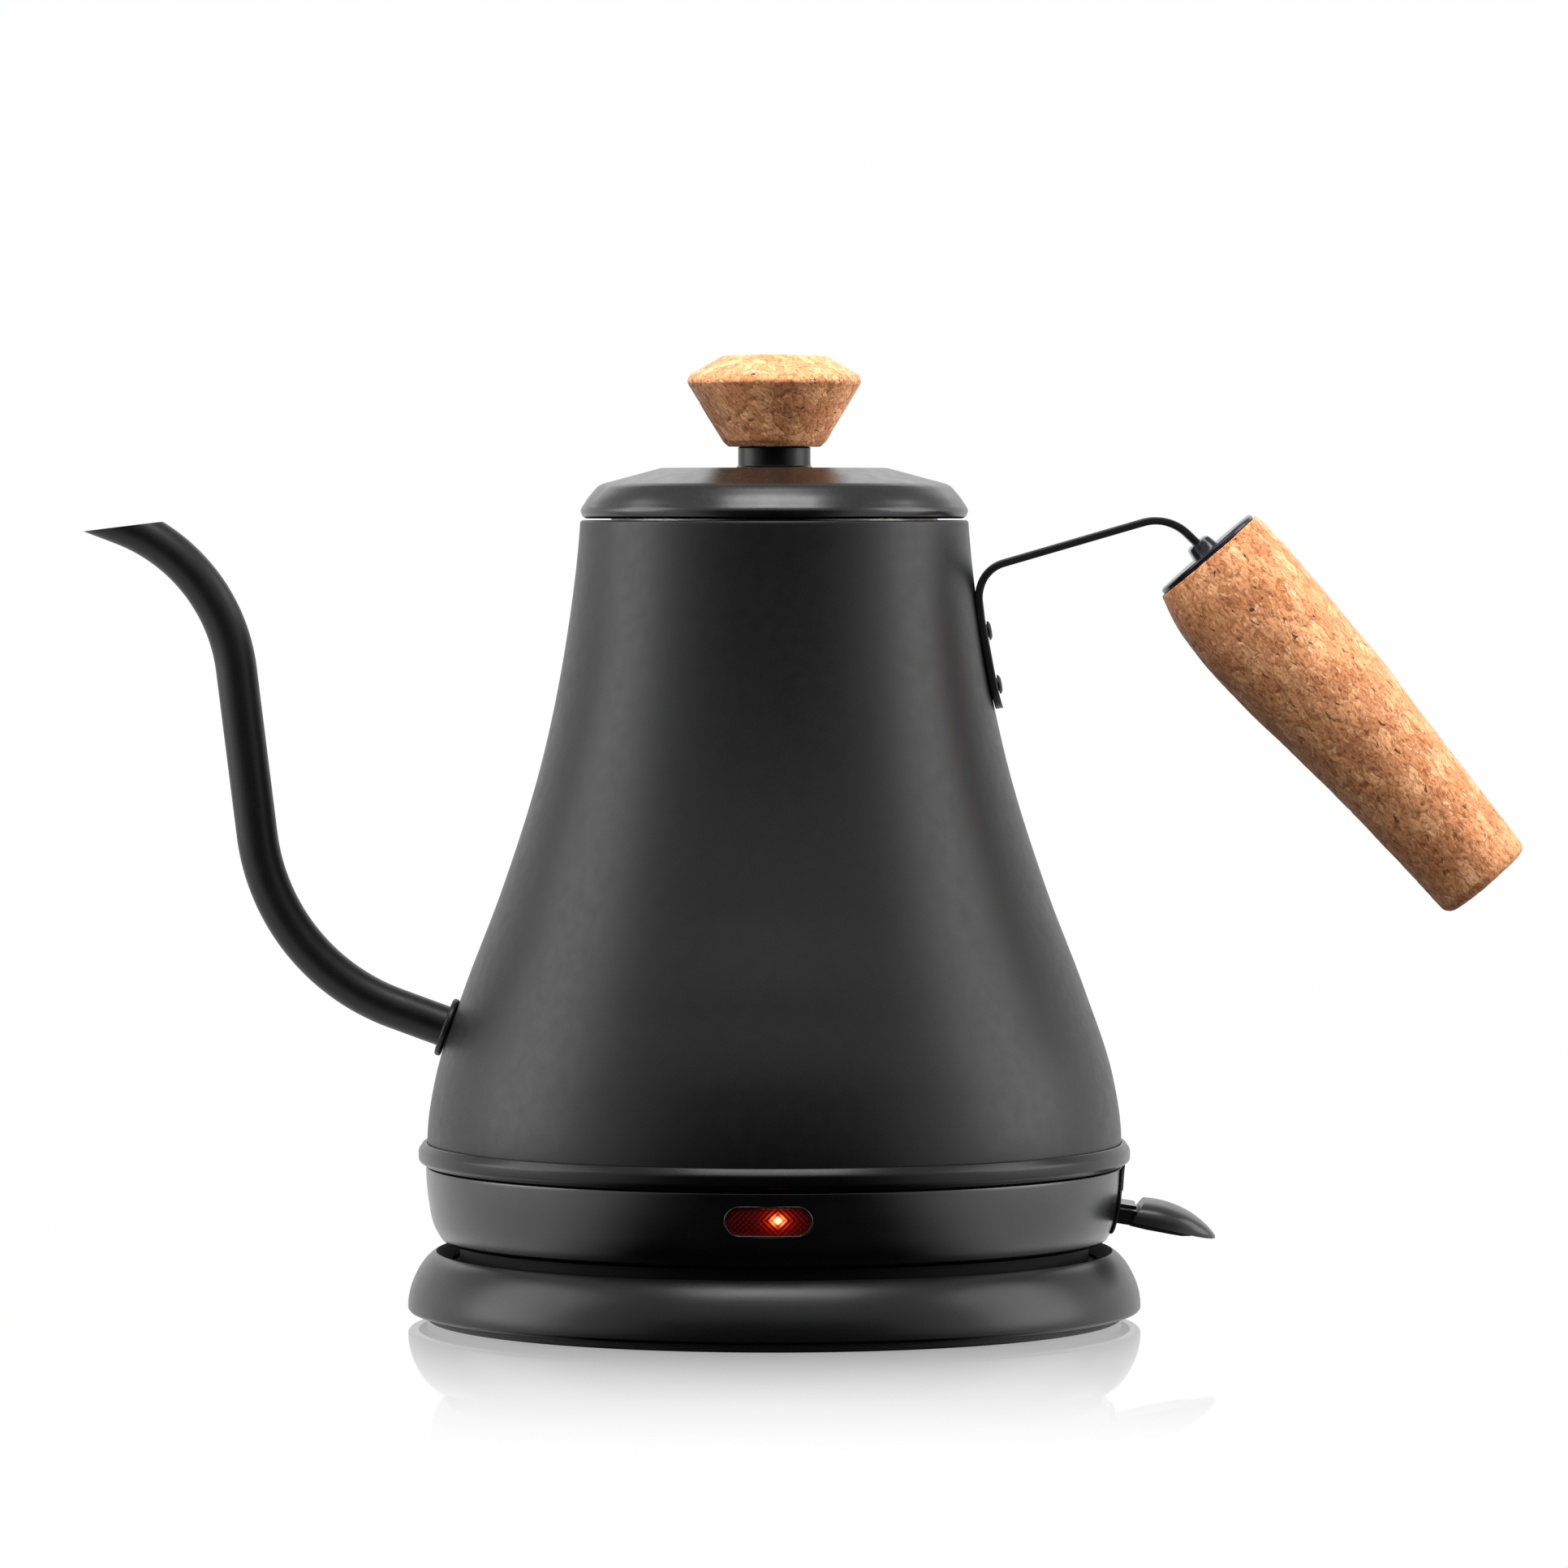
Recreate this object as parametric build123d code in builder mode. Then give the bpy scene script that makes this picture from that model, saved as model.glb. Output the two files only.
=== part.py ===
"""Electric gooseneck kettle on a round power base, 0.8 litre, with a cork grip and a cork lid knob.

Frame: millimetres. Z is up and runs along the kettle's axis, the origin is on that axis at the table,
the spout points to -X, the handle and the switch lever to +X, and the pilot lamp looks to -Y.
"""

import math
import os

from build123d import *

# ---------------------------------------------------------------- driving dimensions
# power base
BASE_R = 75.9  # widest radius of the power base
SKIRT_Z = 1.9  # underside of the base cover's skirt
FOOT_T = 1.6  # height of the rubber foot ring
PLATE_R = 72.0  # base plate and foot ring
PLATE_TOP = 3.2
WELL_R = 66.9  # well that the kettle stands in
WELL_Z = 11.6  # floor of the well
WELL_T = 1.6  # thickness of the well's floor
LIP_Z = 14.9  # top of the lip round the well
CORD_R = 3.3  # bore for a 6.5 mm mains cord
CORD_Z = 6.6

# cordless coupling
PLUG_R = 12.5
PLUG_TOP = 19.5
SLOT_IN_R, SLOT_OUT_R = 6.2, 9.3
EARTH_HOLE_R = 2.9
SOCKET_IN_R, SOCKET_OUT_R = 13.1, 14.9
SOCKET_Z = 20.5  # underside of the socket's top plate

# kettle body
SHELL_T = 0.7
FOOT_TOP_Z = 37.0  # where the shell leaves the bead
SHELL_LOW_Z = 33.3
MOUTH_R = 36.6
RIM_Z = 165.4
FLOOR_Z = 38.6
FLOOR_T = 0.7
HOUSING_TOP_Z = 31.9
HOUSING_LOW_Z = 16.2
HOUSING_T = 2.0
COVER_Z = 13.8  # underside of the bottom cover
COVER_T = 1.6
COVER_R = 65.2

# lid
LID_TOP_Z = 176.2
LID_T = 0.8
CUP_Z = 157.5
SCREW_R = 1.95

# spout: a tube bent on two formers, in the XZ plane
SPOUT_R = 4.25
SPOUT_T = 0.65
SPOUT_ROUTE = [(-64.5, 59.05), (-103.95, 73.5), (-114.2, 156.6), (-146.0, 168.7)]
SPOUT_BENDS = (44.0, 37.0)
TIP_LOW, TIP_HIGH = (-143.0, 163.1), (-126.7, 165.1)  # the slanting cut of the mouth

# handle
STRAP_T = 1.55
STRAP_W = 12.0
TANG_W = 8.0
GRIP_AT = (89.08, 158.85)  # centre of the end cap's outer face, X and Z
GRIP_SLOPE = 49.25  # degrees below the horizontal
GRIP_LEN = 89.8
CAP_R = 12.1
CAP_T = 1.15
SPIGOT_R = 5.8

# switch
PIVOT = (63.5, 22.8)  # X and Z
LEVER_TILT = 8.8  # degrees below the horizontal, at rest
PIN_R = 1.2
LAMP_Z = 26.0

os.makedirs("parts", exist_ok=True)


def write(builder, label):
    """Names a finished piece and writes its STEP file."""
    builder.part.label = label
    export_step(builder.part, f"parts/{label}.step")


def ring_faces(bands):
    """Rectangular sections (inner radius, outer radius, low, high) in the XZ plane, for revolving."""
    for r_in, r_out, low, high in bands:
        with Locations(((r_in + r_out) / 2, (low + high) / 2)):
            Rectangle(r_out - r_in, high - low)


# Radius and height of the shell, from the foot of the cone to the mouth.
SHELL_POINTS = [
    (71.9, FOOT_TOP_Z), (70.2, 50.0), (64.3, 68.2), (56.6, 88.4), (48.2, 115.2), (42.8, 142.1), (40.2, 164.4),
]
# Radius and height of the lower housing, from its top to its lower edge.
HOUSING_POINTS = [(72.2, HOUSING_TOP_Z), (71.6, 24.5), (70.5, 19.6), (69.0, 16.9)]


def shell_line(inset):
    """The shell's curve, moved towards the axis by inset."""
    return Spline(
        [(r - inset, z) for r, z in SHELL_POINTS],
        tangents=[(0, 1), (-0.07, 1)],
    )


def housing_band(inner, outer):
    """A solid band that follows the lower housing's curve, between two offsets from its outside."""
    with BuildPart() as band:
        with BuildSketch(Plane.XZ):
            with BuildLine():
                far = Spline([(r + outer, z) for r, z in HOUSING_POINTS])
                near = Spline([(r + inner, z) for r, z in HOUSING_POINTS])
                Line(far @ 0, near @ 0)
                Line(far @ 1, near @ 1)
            make_face()
        revolve(axis=Axis.Z)
    return band.part


# Rivets: height on the strap, tilt of the cone there, and where the shank starts and the outer head sits.
RIVETS = ((142.5, 10.2, 3.2, 6.5), (131.0, 10.8, 5.25, 8.65))


def rivet_plane(height, tilt, out=0.0):
    """A plane across a rivet's axis; out is measured from 38 mm off the kettle's axis."""
    angle = math.radians(tilt)
    run = Vector(math.cos(angle), 0, math.sin(angle))
    return Plane(origin=Vector(38, 0, height - 6 * math.tan(angle)) + run * out, z_dir=run)


# ---------------------------------------------------------------- power base
with BuildPart() as foot_ring:
    with BuildSketch():
        Circle(PLATE_R)
        Circle(PLATE_R - 9, mode=Mode.SUBTRACT)
    extrude(amount=FOOT_T)
    fillet(foot_ring.edges().group_by(Axis.Z)[0].sort_by(SortBy.RADIUS)[-1], 0.5)
write(foot_ring, "foot_ring")

SCREW_SPOTS = PolarLocations(50, 3, start_angle=30)
with BuildPart() as base_plate:
    with BuildSketch(Plane.XY.offset(FOOT_T)):
        Circle(PLATE_R)
    extrude(amount=PLATE_TOP - FOOT_T)
    with BuildSketch(Plane.XY.offset(PLATE_TOP)):
        with Locations((-5.3, 62), (5.3, 55), (-5.3, 48)):  # labyrinth that grips the cord
            Circle(1.8)
    extrude(amount=WELL_Z - WELL_T - 0.3 - PLATE_TOP)
    with BuildSketch(Plane.XY.offset(FOOT_T)):  # recess for the rating label
        with Locations((0, -34)):
            RectangleRounded(44, 22, 2)
    extrude(amount=0.4, mode=Mode.SUBTRACT)
    with BuildSketch(Plane.XY.offset(FOOT_T)):
        with SCREW_SPOTS:
            Circle(3.0)
    extrude(amount=0.9, mode=Mode.SUBTRACT)
    with BuildSketch(Plane.XY.offset(FOOT_T)):
        with SCREW_SPOTS:
            Circle(1.5)
    extrude(amount=PLATE_TOP, mode=Mode.SUBTRACT)
write(base_plate, "base_plate")

with BuildPart() as base_cover:
    with BuildSketch(Plane.XZ):
        with BuildLine():
            dome = ThreePointArc((BASE_R, 2.5), (74.6, 8.7), (70.5, 14.1))
            shoulder = TangentArc(dome @ 1, (68.7, LIP_Z), tangent=dome % 1)
            Polyline(
                shoulder @ 1,
                (67.7, LIP_Z),
                (WELL_R, LIP_Z - 0.8),
                (WELL_R, WELL_Z),
                (PLUG_R + 0.3, WELL_Z),
                (PLUG_R + 0.3, WELL_Z - WELL_T),
                (WELL_R + 1.8, WELL_Z - WELL_T),
                (WELL_R + 1.8, 12.6),
                (69.6, 12.6),
            )
            ThreePointArc((69.6, 12.6), (72.6, 8.4), (73.8, 2.7))
            Polyline((73.8, 2.7), (73.7, SKIRT_Z), (75.4, SKIRT_Z), dome @ 0)
        make_face()
    revolve(axis=Axis.Z)
    with BuildSketch(Plane.XY.offset(PLATE_TOP)):  # screw bosses under the well
        with SCREW_SPOTS:
            Circle(3.6)
    extrude(amount=WELL_Z - WELL_T - PLATE_TOP)
    with BuildSketch(Plane.XY.offset(PLATE_TOP)):
        with SCREW_SPOTS:
            Circle(1.3)
    extrude(amount=6.6, mode=Mode.SUBTRACT)
    with BuildSketch(Plane.XZ.offset(-BASE_R - 1)):  # notch for the cord's gland
        with Locations((0, CORD_Z)):
            Circle(4.15)
        with Locations((0, CORD_Z / 2)):
            Rectangle(8.3, CORD_Z)
    extrude(amount=BASE_R + 1 - 70, mode=Mode.SUBTRACT)
write(base_cover, "base_cover")

with BuildPart() as cord_gland:
    with BuildSketch(Plane.XZ.offset(-72.3)):
        with Locations((0, CORD_Z)):
            Circle(4.1)
            Circle(CORD_R, mode=Mode.SUBTRACT)
    extrude(amount=-4.0)
    with BuildSketch(Plane.XZ.offset(-75.95)):
        with Locations((0, CORD_Z)):
            Circle(4.7)
            Circle(CORD_R, mode=Mode.SUBTRACT)
    extrude(amount=-1.35)
    fillet(cord_gland.edges().filter_by(GeomType.CIRCLE).group_by(Axis.Y)[-1].sort_by(SortBy.RADIUS)[-1], 0.5)
write(cord_gland, "cord_gland")

with BuildPart() as base_screws:
    with BuildSketch(Plane.XY.offset(FOOT_T + 0.05)):
        with SCREW_SPOTS:
            Circle(2.6)
    extrude(amount=0.8)
    with BuildSketch(Plane.XY.offset(FOOT_T + 0.85)):
        with SCREW_SPOTS:
            Circle(1.25)
    extrude(amount=6.5)
    with BuildSketch(Plane.XY.offset(FOOT_T + 0.05)):  # cross recess
        with SCREW_SPOTS:
            Rectangle(2.6, 0.6)
            Rectangle(0.6, 2.6)
    extrude(amount=0.5, mode=Mode.SUBTRACT)
write(base_screws, "base_screws")

# ---------------------------------------------------------------- cordless coupling
with BuildPart() as base_connector:
    with BuildSketch(Plane.XZ):
        ring_faces([(0, 20.0, 7.2, WELL_Z - WELL_T - 0.1), (0, PLUG_R, 7.2, PLUG_TOP)])
    revolve(axis=Axis.Z)
    chamfer(base_connector.edges().group_by(Axis.Z)[-1], 0.8)
    with BuildSketch(Plane.XY.offset(PLUG_TOP)):
        Circle(SLOT_OUT_R)
        Circle(SLOT_IN_R, mode=Mode.SUBTRACT)
    extrude(amount=-8.5, mode=Mode.SUBTRACT)
    with BuildSketch(Plane.XY.offset(PLUG_TOP)):
        Circle(EARTH_HOLE_R)
    extrude(amount=-11.0, mode=Mode.SUBTRACT)
write(base_connector, "base_connector")

with BuildPart() as connector_rings:
    with BuildSketch(Plane.XZ):
        ring_faces([
            (SLOT_IN_R + 0.05, SLOT_IN_R + 0.4, 11.05, 17.0),
            (SLOT_OUT_R - 0.4, SLOT_OUT_R - 0.05, 11.05, 17.0),
        ])
    revolve(axis=Axis.Z)
write(connector_rings, "connector_rings")

with BuildPart() as connector_earth:
    with BuildSketch(Plane.XZ):
        ring_faces([(2.3, EARTH_HOLE_R - 0.05, 8.55, 16.0)])
    revolve(axis=Axis.Z)
write(connector_earth, "connector_earth")

with BuildPart() as connector_tabs:
    with BuildSketch(Plane.XY.offset(3.8)):
        with PolarLocations(14, 3, start_angle=90):
            Rectangle(0.8, 6.3)
    extrude(amount=3.3)
write(connector_tabs, "connector_tabs")

with BuildPart() as kettle_socket:
    with BuildSketch(Plane.XZ):
        ring_faces([
            (0, 21.0, SOCKET_Z, 22.5),
            (SOCKET_IN_R, SOCKET_OUT_R, 12.2, SOCKET_Z),
            (0, 3.4, SOCKET_Z - 0.6, SOCKET_Z),
        ])
    revolve(axis=Axis.Z)
    chamfer(kettle_socket.edges().group_by(Axis.Z)[0].sort_by(SortBy.RADIUS)[0], 0.6)
write(kettle_socket, "kettle_socket")

with BuildPart() as socket_blade:
    with BuildSketch(Plane.XZ):
        ring_faces([(7.3, 8.2, 12.6, SOCKET_Z - 0.02)])
    revolve(axis=Axis.Z)
write(socket_blade, "socket_blade")

with BuildPart() as socket_pin:
    with BuildSketch(Plane.XY.offset(12.2)):
        Circle(1.8)
    extrude(amount=SOCKET_Z - 0.62 - 12.2)
    fillet(socket_pin.edges().group_by(Axis.Z)[0], 1.2)
write(socket_pin, "socket_pin")

# ---------------------------------------------------------------- vessel
with BuildPart() as body_shell:
    with BuildSketch(Plane.XZ):
        with BuildLine():
            outside = shell_line(0)
            inside = shell_line(SHELL_T)
            low_r, low_z = SHELL_POINTS[0]
            top_r, top_z = SHELL_POINTS[-1]
            Polyline(outside @ 0, (low_r, SHELL_LOW_Z), (low_r - SHELL_T, SHELL_LOW_Z), inside @ 0)
            RadiusArc(outside @ 1, (top_r - 1.0, RIM_Z), -1.0)
            Polyline(
                (top_r - 1.0, RIM_Z),
                (MOUTH_R, RIM_Z),
                (MOUTH_R, RIM_Z - 3.9),
                (MOUTH_R + SHELL_T, RIM_Z - 3.9),
                (MOUTH_R + SHELL_T, RIM_Z - SHELL_T),
                (top_r - SHELL_T - 0.5, RIM_Z - SHELL_T),
                inside @ 1,
            )
        make_face()
    revolve(axis=Axis.Z)
    root = Vector(SPOUT_ROUTE[0][0], 0, SPOUT_ROUTE[0][1])
    knee = Vector(SPOUT_ROUTE[1][0], 0, SPOUT_ROUTE[1][1])
    spout_dir = (knee - root).normalized()
    with BuildSketch(Plane(origin=root, z_dir=spout_dir)):
        Circle(SPOUT_R + 0.05)
    extrude(amount=10, mode=Mode.SUBTRACT)
    for height, tilt, _, _ in RIVETS:
        with BuildSketch(rivet_plane(height, tilt)):
            Circle(1.45)
        extrude(amount=14, mode=Mode.SUBTRACT)
write(body_shell, "body_shell")

STEAM_X = 60.0
with BuildPart() as kettle_floor:
    inner_r = SHELL_POINTS[0][0] - SHELL_T - 0.2
    with BuildSketch(Plane.XZ):
        ring_faces([
            (0, inner_r, FLOOR_Z, FLOOR_Z + FLOOR_T),
            (inner_r - FLOOR_T, inner_r, SHELL_LOW_Z + 0.1, FLOOR_Z + FLOOR_T),
        ])
    revolve(axis=Axis.Z)
    with BuildSketch(Plane.XY.offset(FLOOR_Z)):
        with Locations((STEAM_X, 0)):
            Circle(4.2)
    extrude(amount=FLOOR_T, mode=Mode.SUBTRACT)
write(kettle_floor, "kettle_floor")

with BuildPart() as heat_plate:
    with BuildSketch(Plane.XY.offset(36.1)):
        Circle(46)
    extrude(amount=FLOOR_Z - 36.15)
    chamfer(heat_plate.edges().group_by(Axis.Z)[0], 0.6)
write(heat_plate, "heat_plate")

ELEMENT_R, ELEMENT_GAP = 38.0, 25.0
with BuildPart() as heating_element:
    with BuildSketch(Plane.XZ):
        with Locations((ELEMENT_R, 32.75)):
            Circle(3.3)
    revolve(axis=Axis.Z, revolution_arc=360 - 2 * ELEMENT_GAP)
heating_element.part = heating_element.part.rotate(Axis.Z, ELEMENT_GAP)
write(heating_element, "heating_element")

with BuildPart() as element_terminals:
    with BuildSketch(Plane.XY.offset(23.5)):
        for side in (-1, 1):
            angle = math.radians(side * (ELEMENT_GAP - 2.2))
            with Locations((ELEMENT_R * math.cos(angle), ELEMENT_R * math.sin(angle))):
                Circle(1.4)
    extrude(amount=10)
write(element_terminals, "element_terminals")

with BuildPart() as control_unit:
    with BuildSketch(Plane.XY.offset(23.1)):
        RectangleRounded(46, 38, 6)
    extrude(amount=11.2)
    chamfer(control_unit.edges().group_by(Axis.Z)[-1], 1.0)
    with BuildSketch(Plane.XY.offset(23.1)):
        Circle(8)
    extrude(amount=2.5, mode=Mode.SUBTRACT)
write(control_unit, "control_unit")

with BuildPart() as snap_discs:
    for radius, height in ((8.0, 34.5), (5.5, 34.8)):
        with BuildSketch(Plane.XY.offset(height)):
            with Locations((-12, 0), (12, 0)):
                Circle(radius)
        extrude(amount=0.4)
write(snap_discs, "snap_discs")

with BuildPart() as steam_tube:
    with BuildLine():
        steam_path = FilletPolyline(
            (STEAM_X, 0, 29.5), (STEAM_X, 0, 60), (37.5, 0, 130), (35.5, 0, 152), radius=(40, 45)
        )
    with BuildSketch(Plane(origin=steam_path @ 0, z_dir=steam_path % 0)):
        Circle(3.0)
        Circle(2.4, mode=Mode.SUBTRACT)
    sweep(path=steam_path)
write(steam_tube, "steam_tube")

with BuildPart() as steam_tube_seal:
    with BuildSketch(Plane.XZ):
        with BuildLine():
            low = FLOOR_Z - 1.2
            high = FLOOR_Z + FLOOR_T + 1.2
            Polyline(
                (3.05, low), (5.4, low), (5.4, FLOOR_Z - 0.02), (4.15, FLOOR_Z - 0.02),
                (4.15, FLOOR_Z + FLOOR_T + 0.02), (5.4, FLOOR_Z + FLOOR_T + 0.02), (5.4, high - 0.5),
                (4.9, high), (3.05, high), (3.05, low),
            )
        make_face()
    revolve(axis=Axis.Z)
steam_tube_seal.part = steam_tube_seal.part.moved(Location((STEAM_X, 0, 0)))
write(steam_tube_seal, "steam_tube_seal")

# ---------------------------------------------------------------- spout
with BuildPart() as spout_tube:
    with BuildLine():
        spout_path = FilletPolyline(*[(x, 0, z) for x, z in SPOUT_ROUTE], radius=SPOUT_BENDS)
    with BuildSketch(Plane(origin=spout_path @ 0, z_dir=spout_path % 0)):
        Circle(SPOUT_R)
        Circle(SPOUT_R - SPOUT_T, mode=Mode.SUBTRACT)
    sweep(path=spout_path)
    mouth_run = Vector(TIP_HIGH[0] - TIP_LOW[0], 0, TIP_HIGH[1] - TIP_LOW[1])
    mouth_plane = Plane(
        origin=(TIP_LOW[0], 0, TIP_LOW[1]), x_dir=mouth_run, z_dir=mouth_run.rotate(Axis.Y, -90)
    )
    with BuildSketch(mouth_plane):
        with Locations((0, 0)):
            Rectangle(60, 30)
    extrude(amount=30, mode=Mode.SUBTRACT)
write(spout_tube, "spout_tube")

with BuildPart() as spout_flange:
    flange_at = root + spout_dir * 2.95
    with BuildSketch(Plane(origin=flange_at, z_dir=spout_dir)):
        Circle(6.2)
        Circle(SPOUT_R + 0.02, mode=Mode.SUBTRACT)
    extrude(amount=1.4)
    rims = spout_flange.edges().filter_by(GeomType.CIRCLE).filter_by(lambda e: e.radius > 6)
    fillet(rims, 0.6)
write(spout_flange, "spout_flange")

# ---------------------------------------------------------------- bead, housing and bottom cover
with BuildPart() as trim_ring:
    with BuildSketch(Plane.XZ):
        with BuildLine():
            seat = SHELL_POINTS[0][0] + 0.12
            Polyline(
                (70.4, 32.2), (72.7, 32.2), (73.7, 33.2), (73.7, 35.2), (72.9, 36.8), (seat, 36.8),
                (seat, SHELL_LOW_Z - 0.05), (70.4, SHELL_LOW_Z - 0.05), (70.4, 32.2),
            )
        make_face()
    revolve(axis=Axis.Z)
    fillet(trim_ring.edges().filter_by(lambda e: e.geom_type == GeomType.CIRCLE and e.radius > 73), 0.9)
    fillet(trim_ring.edges().group_by(Axis.Z)[-1].sort_by(SortBy.RADIUS)[-1], 0.3)
write(trim_ring, "trim_ring")


def stadium(length, height):
    """A long round-ended window, centred on the lamp."""
    with Locations((0, LAMP_Z)):
        SlotOverall(length, height)


COVER_SPOTS = [(61 * math.cos(math.radians(a)), 61 * math.sin(math.radians(a))) for a in (60, 180, 300)]
with BuildPart() as lower_housing:
    with BuildSketch(Plane.XZ):
        with BuildLine():
            side = Spline(HOUSING_POINTS)
            foot = TangentArc(side @ 1, (67.4, HOUSING_LOW_Z), tangent=side % 1)
            Polyline(
                foot @ 1,
                (COVER_R + 0.3, HOUSING_LOW_Z),
                (COVER_R + 0.3, 17.6),
                (68.0, 19.2),
                (69.5, 24.5),
                (HOUSING_POINTS[0][0] - HOUSING_T, HOUSING_TOP_Z),
                side @ 0,
            )
        make_face()
    revolve(axis=Axis.Z)
    for angle, spot in zip((60, 180, 300), COVER_SPOTS):
        with BuildSketch(Plane.XY.offset(18.8)):
            with Locations(spot):
                Circle(3.2)
            with Locations(Location((65 * spot[0] / 61, 65 * spot[1] / 61, 0), (0, 0, angle))):
                Rectangle(8, 3)
        extrude(amount=9)
    with BuildSketch(Plane.XY.offset(18.8)):
        with Locations(*COVER_SPOTS):
            Circle(1.2)
    extrude(amount=9, mode=Mode.SUBTRACT)
    with BuildSketch(Plane.XZ.offset(60)):  # window of the pilot lamp
        stadium(18.1, 6.7)
    extrude(amount=20, mode=Mode.SUBTRACT)
    with BuildSketch(Plane.YZ.offset(60)):  # slot of the switch lever
        with Locations((0, 23.0)):
            Rectangle(16.4, 8.0)
    extrude(amount=20, mode=Mode.SUBTRACT)
write(lower_housing, "lower_housing")

with BuildPart() as bottom_cover:
    with BuildSketch(Plane.XZ):
        ring_faces([
            (15.3, COVER_R, COVER_Z, COVER_Z + COVER_T),
            (COVER_R - 1.6, COVER_R, COVER_Z - 1.2, 17.9),
            (50.0, 53.0, WELL_Z + 0.3, COVER_Z),
            (15.3, 17.0, COVER_Z, 19.5),
        ])
    revolve(axis=Axis.Z)
    with BuildSketch(Plane.XY.offset(COVER_Z)):
        with Locations(*COVER_SPOTS):
            Circle(1.5)
    extrude(amount=COVER_T, mode=Mode.SUBTRACT)
    with BuildSketch(Plane.XY.offset(COVER_Z)):  # drain slots
        with PolarLocations(34, 6, start_angle=30):
            SlotOverall(10, 2.2, rotation=90)
    extrude(amount=COVER_T, mode=Mode.SUBTRACT)
write(bottom_cover, "bottom_cover")

with BuildPart() as cover_screws:
    with BuildSketch(Plane.XY.offset(COVER_Z - 1.2)):
        with Locations(*COVER_SPOTS):
            Circle(2.3)
    extrude(amount=1.15)
    with BuildSketch(Plane.XY.offset(COVER_Z - 0.1)):
        with Locations(*COVER_SPOTS):
            Circle(1.15)
    extrude(amount=12)
    with BuildSketch(Plane.XY.offset(COVER_Z - 1.2)):
        with Locations(*COVER_SPOTS):
            Rectangle(2.4, 0.6)
            Rectangle(0.6, 2.4)
    extrude(amount=0.6, mode=Mode.SUBTRACT)
write(cover_screws, "cover_screws")

# ---------------------------------------------------------------- pilot lamp
with BuildPart() as lamp_bezel:
    with BuildSketch(Plane.XZ.offset(60)):
        stadium(17.9, 6.5)
        with Locations((0, LAMP_Z)):
            SlotOverall(16.8, 5.4, mode=Mode.SUBTRACT)
    extrude(amount=20)
    add(housing_band(-2.6, 0.3), mode=Mode.INTERSECT)
write(lamp_bezel, "lamp_bezel")

with BuildPart() as lamp_lens:
    with BuildSketch(Plane.XZ.offset(60)):
        stadium(16.7, 5.3)
    extrude(amount=20)
    add(housing_band(-1.4, 0.1), mode=Mode.INTERSECT)
write(lamp_lens, "lamp_lens")

with BuildPart() as lamp_holder:
    with BuildSketch(Plane.XZ.offset(60.5)):
        stadium(19.5, 8.5)
    extrude(amount=7.2)
    with BuildSketch(Plane.XZ.offset(62)):
        stadium(16.5, 5.5)
    extrude(amount=8, mode=Mode.SUBTRACT)
write(lamp_holder, "lamp_holder")

with BuildPart() as lamp_bulb:
    with BuildSketch(Plane.YZ.offset(-2.0)):
        with Locations((-65.0, LAMP_Z)):
            Circle(1.9)
    extrude(amount=7.0)
    fillet(lamp_bulb.edges().filter_by(GeomType.CIRCLE), 1.2)
write(lamp_bulb, "lamp_bulb")

with BuildPart() as lamp_leads:
    for side in (-1, 1):
        with BuildLine():
            lead = FilletPolyline(
                (4 * side, -60.4, LAMP_Z), (4 * side, -52, LAMP_Z), (9 * side, -40, 24.8),
                (9 * side, -19.1, 26.5), radius=(7, 9),
            )
        with BuildSketch(Plane(origin=lead @ 0, z_dir=lead % 0)):
            Circle(0.75)
        sweep(path=lead)
write(lamp_leads, "lamp_leads")

# ---------------------------------------------------------------- switch
with BuildPart() as lever_escutcheon:
    with BuildSketch(Plane.YZ.offset(60)):
        with Locations((0, 25.1)):
            RectangleRounded(22, 13.4, 1.2)
        with Locations((0, 23.0)):
            Rectangle(16.4, 8.0, mode=Mode.SUBTRACT)
    extrude(amount=20)
    add(housing_band(0.05, 0.5), mode=Mode.INTERSECT)
write(lever_escutcheon, "lever_escutcheon")

pivot_x, pivot_z = PIVOT
BRACKET_LOW = COVER_Z + COVER_T + 0.05
with BuildPart() as lever_bracket:
    with BuildSketch(Plane.XY.offset(BRACKET_LOW)):
        with Locations((57.0, 0)):
            Rectangle(11.0, 22)
    extrude(amount=1.4)
    for start in (7.5, -9.1):  # the two ears that carry the pivot pin
        with BuildSketch(Plane.XZ.offset(start)):
            Polygon(
                (51.5, BRACKET_LOW), (62.5, BRACKET_LOW), (62.5, 18.2), (66.2, 20.4), (66.2, 25.6), (57.5, 28.0),
                (51.5, 28.0),
                align=None,
            )
            with Locations(PIVOT):
                Circle(PIN_R + 0.03, mode=Mode.SUBTRACT)
        extrude(amount=1.6)
    with BuildSketch(Plane.XY.offset(26.6)):  # bridge that guides the plunger
        with Locations((54.25, 0)):
            Rectangle(5.5, 17)
        with Locations((53.6, 0)):
            Rectangle(5.4, 5.8, mode=Mode.SUBTRACT)
    extrude(amount=1.4)
write(lever_bracket, "lever_bracket")

with BuildPart() as lever_pivot_pin:
    with BuildSketch(Plane.XZ):
        with Locations(PIVOT):
            Circle(PIN_R)
    extrude(amount=9.4, both=True)
    chamfer(lever_pivot_pin.edges().filter_by(GeomType.CIRCLE), 0.2)
write(lever_pivot_pin, "lever_pivot_pin")

with BuildPart() as over_centre_spring:
    with BuildSketch(Plane.XZ):
        with BuildLine():
            upper = ThreePointArc((56.9, 17.2), (59.9, 18.9), (62.9, 17.5))
            lower = ThreePointArc((56.9, 16.9), (59.9, 18.6), (62.9, 17.2))
            Line(upper @ 0, lower @ 0)
            Line(upper @ 1, lower @ 1)
        make_face()
    extrude(amount=3, both=True)
write(over_centre_spring, "over_centre_spring")


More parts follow.
